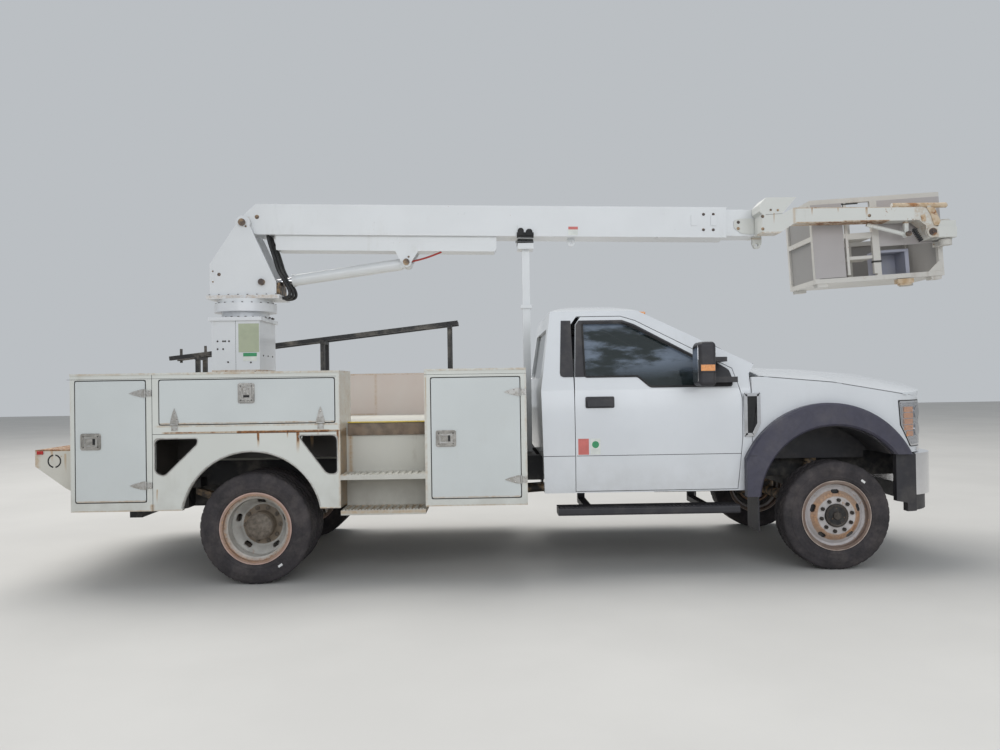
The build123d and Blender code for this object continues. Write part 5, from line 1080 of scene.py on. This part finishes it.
valve = Shape().block((-150, -60), (-120, 120), (2216, 2300))
valve.block((-118, -70), (60, 130), (2300, 2350))
for y in (-90, -50, -10, 30, 70):
    valve.bar((-80, y, 2300), (-80, y, 2325), 11, 12)
valve.made("turret_valve", cast_iron, "turret", "iron", bevel=3)
base = Shape()
for x in range(-640, 0, 80):
    for y in (-183, 183):
        base.dome((x, y, 2215), (0, 0, 1), 8, 8)
base.made("turret_base_bolts", nut_dark, "turret", "iron", smooth=40)

# Boom: bolts, welds, rest pads and label
bolts = Shape()
for sign in (-1, 1):
    for x in (3578, 3663):
        for z in (2803, 2936):
            bolts.dome((x, sign * BOOM_FACE, z), (0, sign, 0), 13, 10)
    bolts.dome((-247, sign * BOOM_FACE, 2887), (0, sign, 0), 19, 8)
    bolts.bar((1025, sign * 90, 2515), (1025, sign * 116, 2515), 27, 28)
    bolts.dome((1044, sign * 95, 2560), (0, sign, 0), 9, 6)
bolts.laid().made("boom_bolts", rusty_pin, "boom", "iron", smooth=40)
welds = Shape()
for sign in (-1, 1):
    welds.plate([(-60, 2743), (-52, 2743), (-92, 2994), (-100, 2994)], sign * BOOM_FACE, sign * (BOOM_FACE + 2))
welds.laid().made("boom_welds", boom_white, "boom", "boom_paint", smooth=0)
pad = Shape().block((1978, 2113), (-89, 89), (2654, 2670))
pad.block((1976, 2115), (-92, 92), (2640, 2654))
pad.made("rest_pad", seal_black, "chassis", "black_trim", bevel=1)
pads = Shape()
for sign in (-1, 1):
    near = sign * (BOOM_FACE + 1)
    for start, end, top in ((1976, 2034, 2804), (2046, 2108, 2796)):
        pads.plate([(start, 2740), (end, 2740), (end - 4, top - 14), (end - 18, top), (start + 18, top),
                    (start + 4, top - 14)], near, sign * 160)
    pads.block((1972, 2116), (near, sign * 152), (2722, 2768))
pads.laid().made("boom_rest_pads", seal_black, "boom", "black_trim", bevel=3)
for name, material, lift, low in (("boom_label", sticker_white, 1.2, 2748),
                                  ("boom_label_band", label_red, 1.8, 2798)):
    label = Shape().block((2414, 2496), (-BOOM_FACE - lift, -BOOM_FACE), (low, 2822))
    label.laid().made(name, material, "boom", "boom_paint")

# Tip arm: root plate, bolts, the level linkage's pins and lever, the turning sleeve and a spring
ROOT_PLATE = [(3842, 2808), (3842, 2742), (3905, 2692), (4018, 2682), (4018, 2822), (3905, 2822)]
LEVER = [(5402, 2856), (5468, 2856), (5520, 2740), (5500, 2700), (5466, 2704), (5440, 2790)]
LEVER_LINK = [(5352, 2790), (5392, 2800), (5400, 2740), (5366, 2738)]
root = Shape().plate(rounded(ROOT_PLATE, 22), -113, -121)
root.made("arm_root_plate", arm_white, "extension", "boom_paint", bevel=2)
bolts = Shape()
for x, z in ((3882, 2790), (3880, 2736)):
    bolts.dome((x, -121, z), (0, -1, 0), 14, 9)
for x, z, radius in ((4023, 2797, 14), (4023, 2692, 14), (4092, 2850, 10), (4152, 2848, 10), (4923, 2793, 14)):
    bolts.dome((x, ARM_FACE, z), (0, -1, 0), radius, 9)
bolts.made("arm_bolts", rusty_pin, "extension", "iron", smooth=40)
pins = Shape().bar((5445, -345, 2648), (5445, -362, 2648), 31, 28)
pins.bar((5445, -352, 2648), (5445, -370, 2648), 13, 6)
pins.bar((5262, -300, 2641), (5262, -322, 2641), 22, 28)
pins.made("level_pins", rusty_pin, "extension", "iron", smooth=40)
sleeve = Shape().bar((5128, -300, 2880), (5586, -300, 2880), 21.5, 24)
sleeve.bar((5588, -300, 2880), (5598, -300, 2880), 12, 16)
sleeve.made("rotator_sleeve", rusty_tube, "extension", "boom_paint")
lever = Shape().plate(rounded(LEVER, 12), ARM_FACE - 1, ARM_FACE - 10)
lever.plate(rounded(LEVER_LINK, 10), ARM_FACE - 1, ARM_FACE - 8)
lever.made("level_lever", rusty_tube, "extension", "boom_paint", bevel=1.5)
spring = Shape()
for k in range(7):
    x, z = 5306 + 56 * k / 6, 2672 - 84 * k / 6
    spring.bar((x, -312, z), (x + 5, -312, z - 7), 21, 18)
spring.bar((5300, -312, 2681), (5368, -312, 2579), 10, 12)
spring.made("level_spring", hose_black, "extension", "iron", smooth=40)

# Basket: the near side's panels, posts, shelves, tool rack, strap and foot, drawn in its own frame
panels = Shape().block((4, 270), (-3, 1), (44, 680))
panels.block((576, 1118), (-3, 1), (284, 680))
panels.in_basket().made("basket_near_panels", panel_pale, "basket", "panel", bevel=1)
posts = Shape().block((287, 310), (-2, 24), (58, 680))
posts.block((515, 576), (-4, 30), (56, 680))
posts.block((312, 512), (4, 210), (363, 376))
posts.block((312, 512), (4, 210), (188, 216))
posts.plate([(984, 40), (1096, 40), (1096, 140)], -3, 7)
posts.in_basket().made("basket_near_posts", basket_white, "basket", "basket_paint", bevel=2)
rack = Shape().block((577, 853), (60, 250), (236, 258))
for x in ((577, 600), (819, 853)):
    rack.block(x, (60, 250), (44, 236))
rack.block((600, 819), (240, 250), (44, 236))
rack.in_basket().made("basket_tool_rack", box_blue, "basket", "basket_paint", bevel=2)
strap = Shape().block((510, 581), (-9, 35), (150, 166))
strap.block((271, 414), (-4.5, 1), (663, 674))
strap.in_basket().made("basket_strap", hose_black, "basket", "black_trim", bevel=2)
foot = Shape().block((708, 846), (-12, 60), (-46, -6))
foot.block((728, 826), (-4, 50), (-60, -44))
foot.in_basket().made("basket_foot", rusty_tube, "basket", "basket_paint", bevel=3)
mount = Shape().block((5545, 5635), (-160, -150), (2546, 2596))
mount.made("basket_mount", basket_white, "basket", "basket_paint", bevel=1)
bolts = Shape()
for x in (5552, 5628):
    bolts.dome((x, -160, 2571), (0, -1, 0), 6, 5)
bolts.made("basket_mount_bolts", rusty_pin, "basket", "iron", smooth=40)

# Hoses at the turret, from its base up to the boom's root, and one at the lift cylinder
for k, (y, bow) in enumerate(((-80, 0), (-35, 18), (15, 6), (65, 22)), 1):
    points = [(-60, y, 2196), (-5 + bow, y, 2190), (22 + bow, y, 2240), (-20 + bow, y, 2320),
              (-85 + bow, y, 2430), (-110 + bow, y, 2520), (-140 + bow, y, 2619), (-165, y, 2700),
              (-175, y, 2770)]
    hose(f"turret_hose_{k}", points, 13, hose_black, "turret", "black_trim",
         ("boom", (-40, y, 2330), (-150, y, 2640)))
hose("lift_hose", [(1060, -30, 2502), (1130, -50, 2512), (1230, -62, 2540), (1320, -70, 2574)], 8, hose_red,
     "boom", "black_trim")


# Camera, light and floor
SENSOR = 36
FOCAL_SHARE = 0.8384
camera_data = bpy.data.cameras.new("camera")
camera_data.sensor_width = SENSOR
camera_data.lens = FOCAL_SHARE * SENSOR
camera_data.clip_end = 200
camera = bpy.data.objects.new("camera", camera_data)
bpy.context.scene.collection.objects.link(camera)
yaw, pitch, roll = (math.radians(v) for v in (0.85, 0.6, -0.87))
forward = Vector((math.sin(yaw) * math.cos(pitch), math.cos(yaw) * math.cos(pitch), math.sin(pitch)))
right = Vector((math.cos(yaw), -math.sin(yaw), 0))
up = right.cross(forward)
right_rolled = right * math.cos(roll) + up * math.sin(roll)
up_rolled = up * math.cos(roll) - right * math.sin(roll)
rotation = Matrix((right_rolled, up_rolled, -forward)).transposed()
camera.matrix_world = Matrix.Translation(at(1701.8, -7299.2, 1429.8)) @ rotation.to_4x4()
bpy.context.scene.camera = camera

floor_mesh = bpy.data.meshes.new("floor")
floor_mesh.from_pydata([(-60, -40, 0), (60, -40, 0), (60, 40, 0), (-60, 40, 0)], [], [(0, 1, 2, 3)])
floor = bpy.data.objects.new("floor", floor_mesh)
bpy.context.scene.collection.objects.link(floor)
ground = Finish("floor_pale")
ground.set(Base_Color=ground.vary((0.52, 0.51, 0.49), 0.03, 0.6), Roughness=0.9)
floor_mesh.materials.append(ground.material)

world = bpy.data.worlds.new("studio")
bpy.context.scene.world = world
world.use_nodes = True
background = world.node_tree.nodes["Background"]
background.inputs["Color"].default_value = (0.80, 0.84, 0.88, 1)
background.inputs["Strength"].default_value = 0.62


def area_light(name, place, aim, size, power, colour):
    data = bpy.data.lights.new(name, "AREA")
    data.shape = "RECTANGLE"
    data.size, data.size_y = size
    data.energy = power
    data.color = colour
    lamp = bpy.data.objects.new(name, data)
    bpy.context.scene.collection.objects.link(lamp)
    lamp.location = place
    lamp.rotation_euler = (Vector(aim) - Vector(place)).to_track_quat("-Z", "Y").to_euler()


area_light("top_panel", (-4.0, 6.0, 18.0), (0, 0, 1), (18, 14), 3500, (1.0, 0.98, 0.95))
area_light("front_fill", (1.0, -9.5, 4.5), (0, 0, 1.2), (12, 5), 330, (0.93, 0.96, 1.0))

bpy.context.scene.view_settings.view_transform = "Standard"
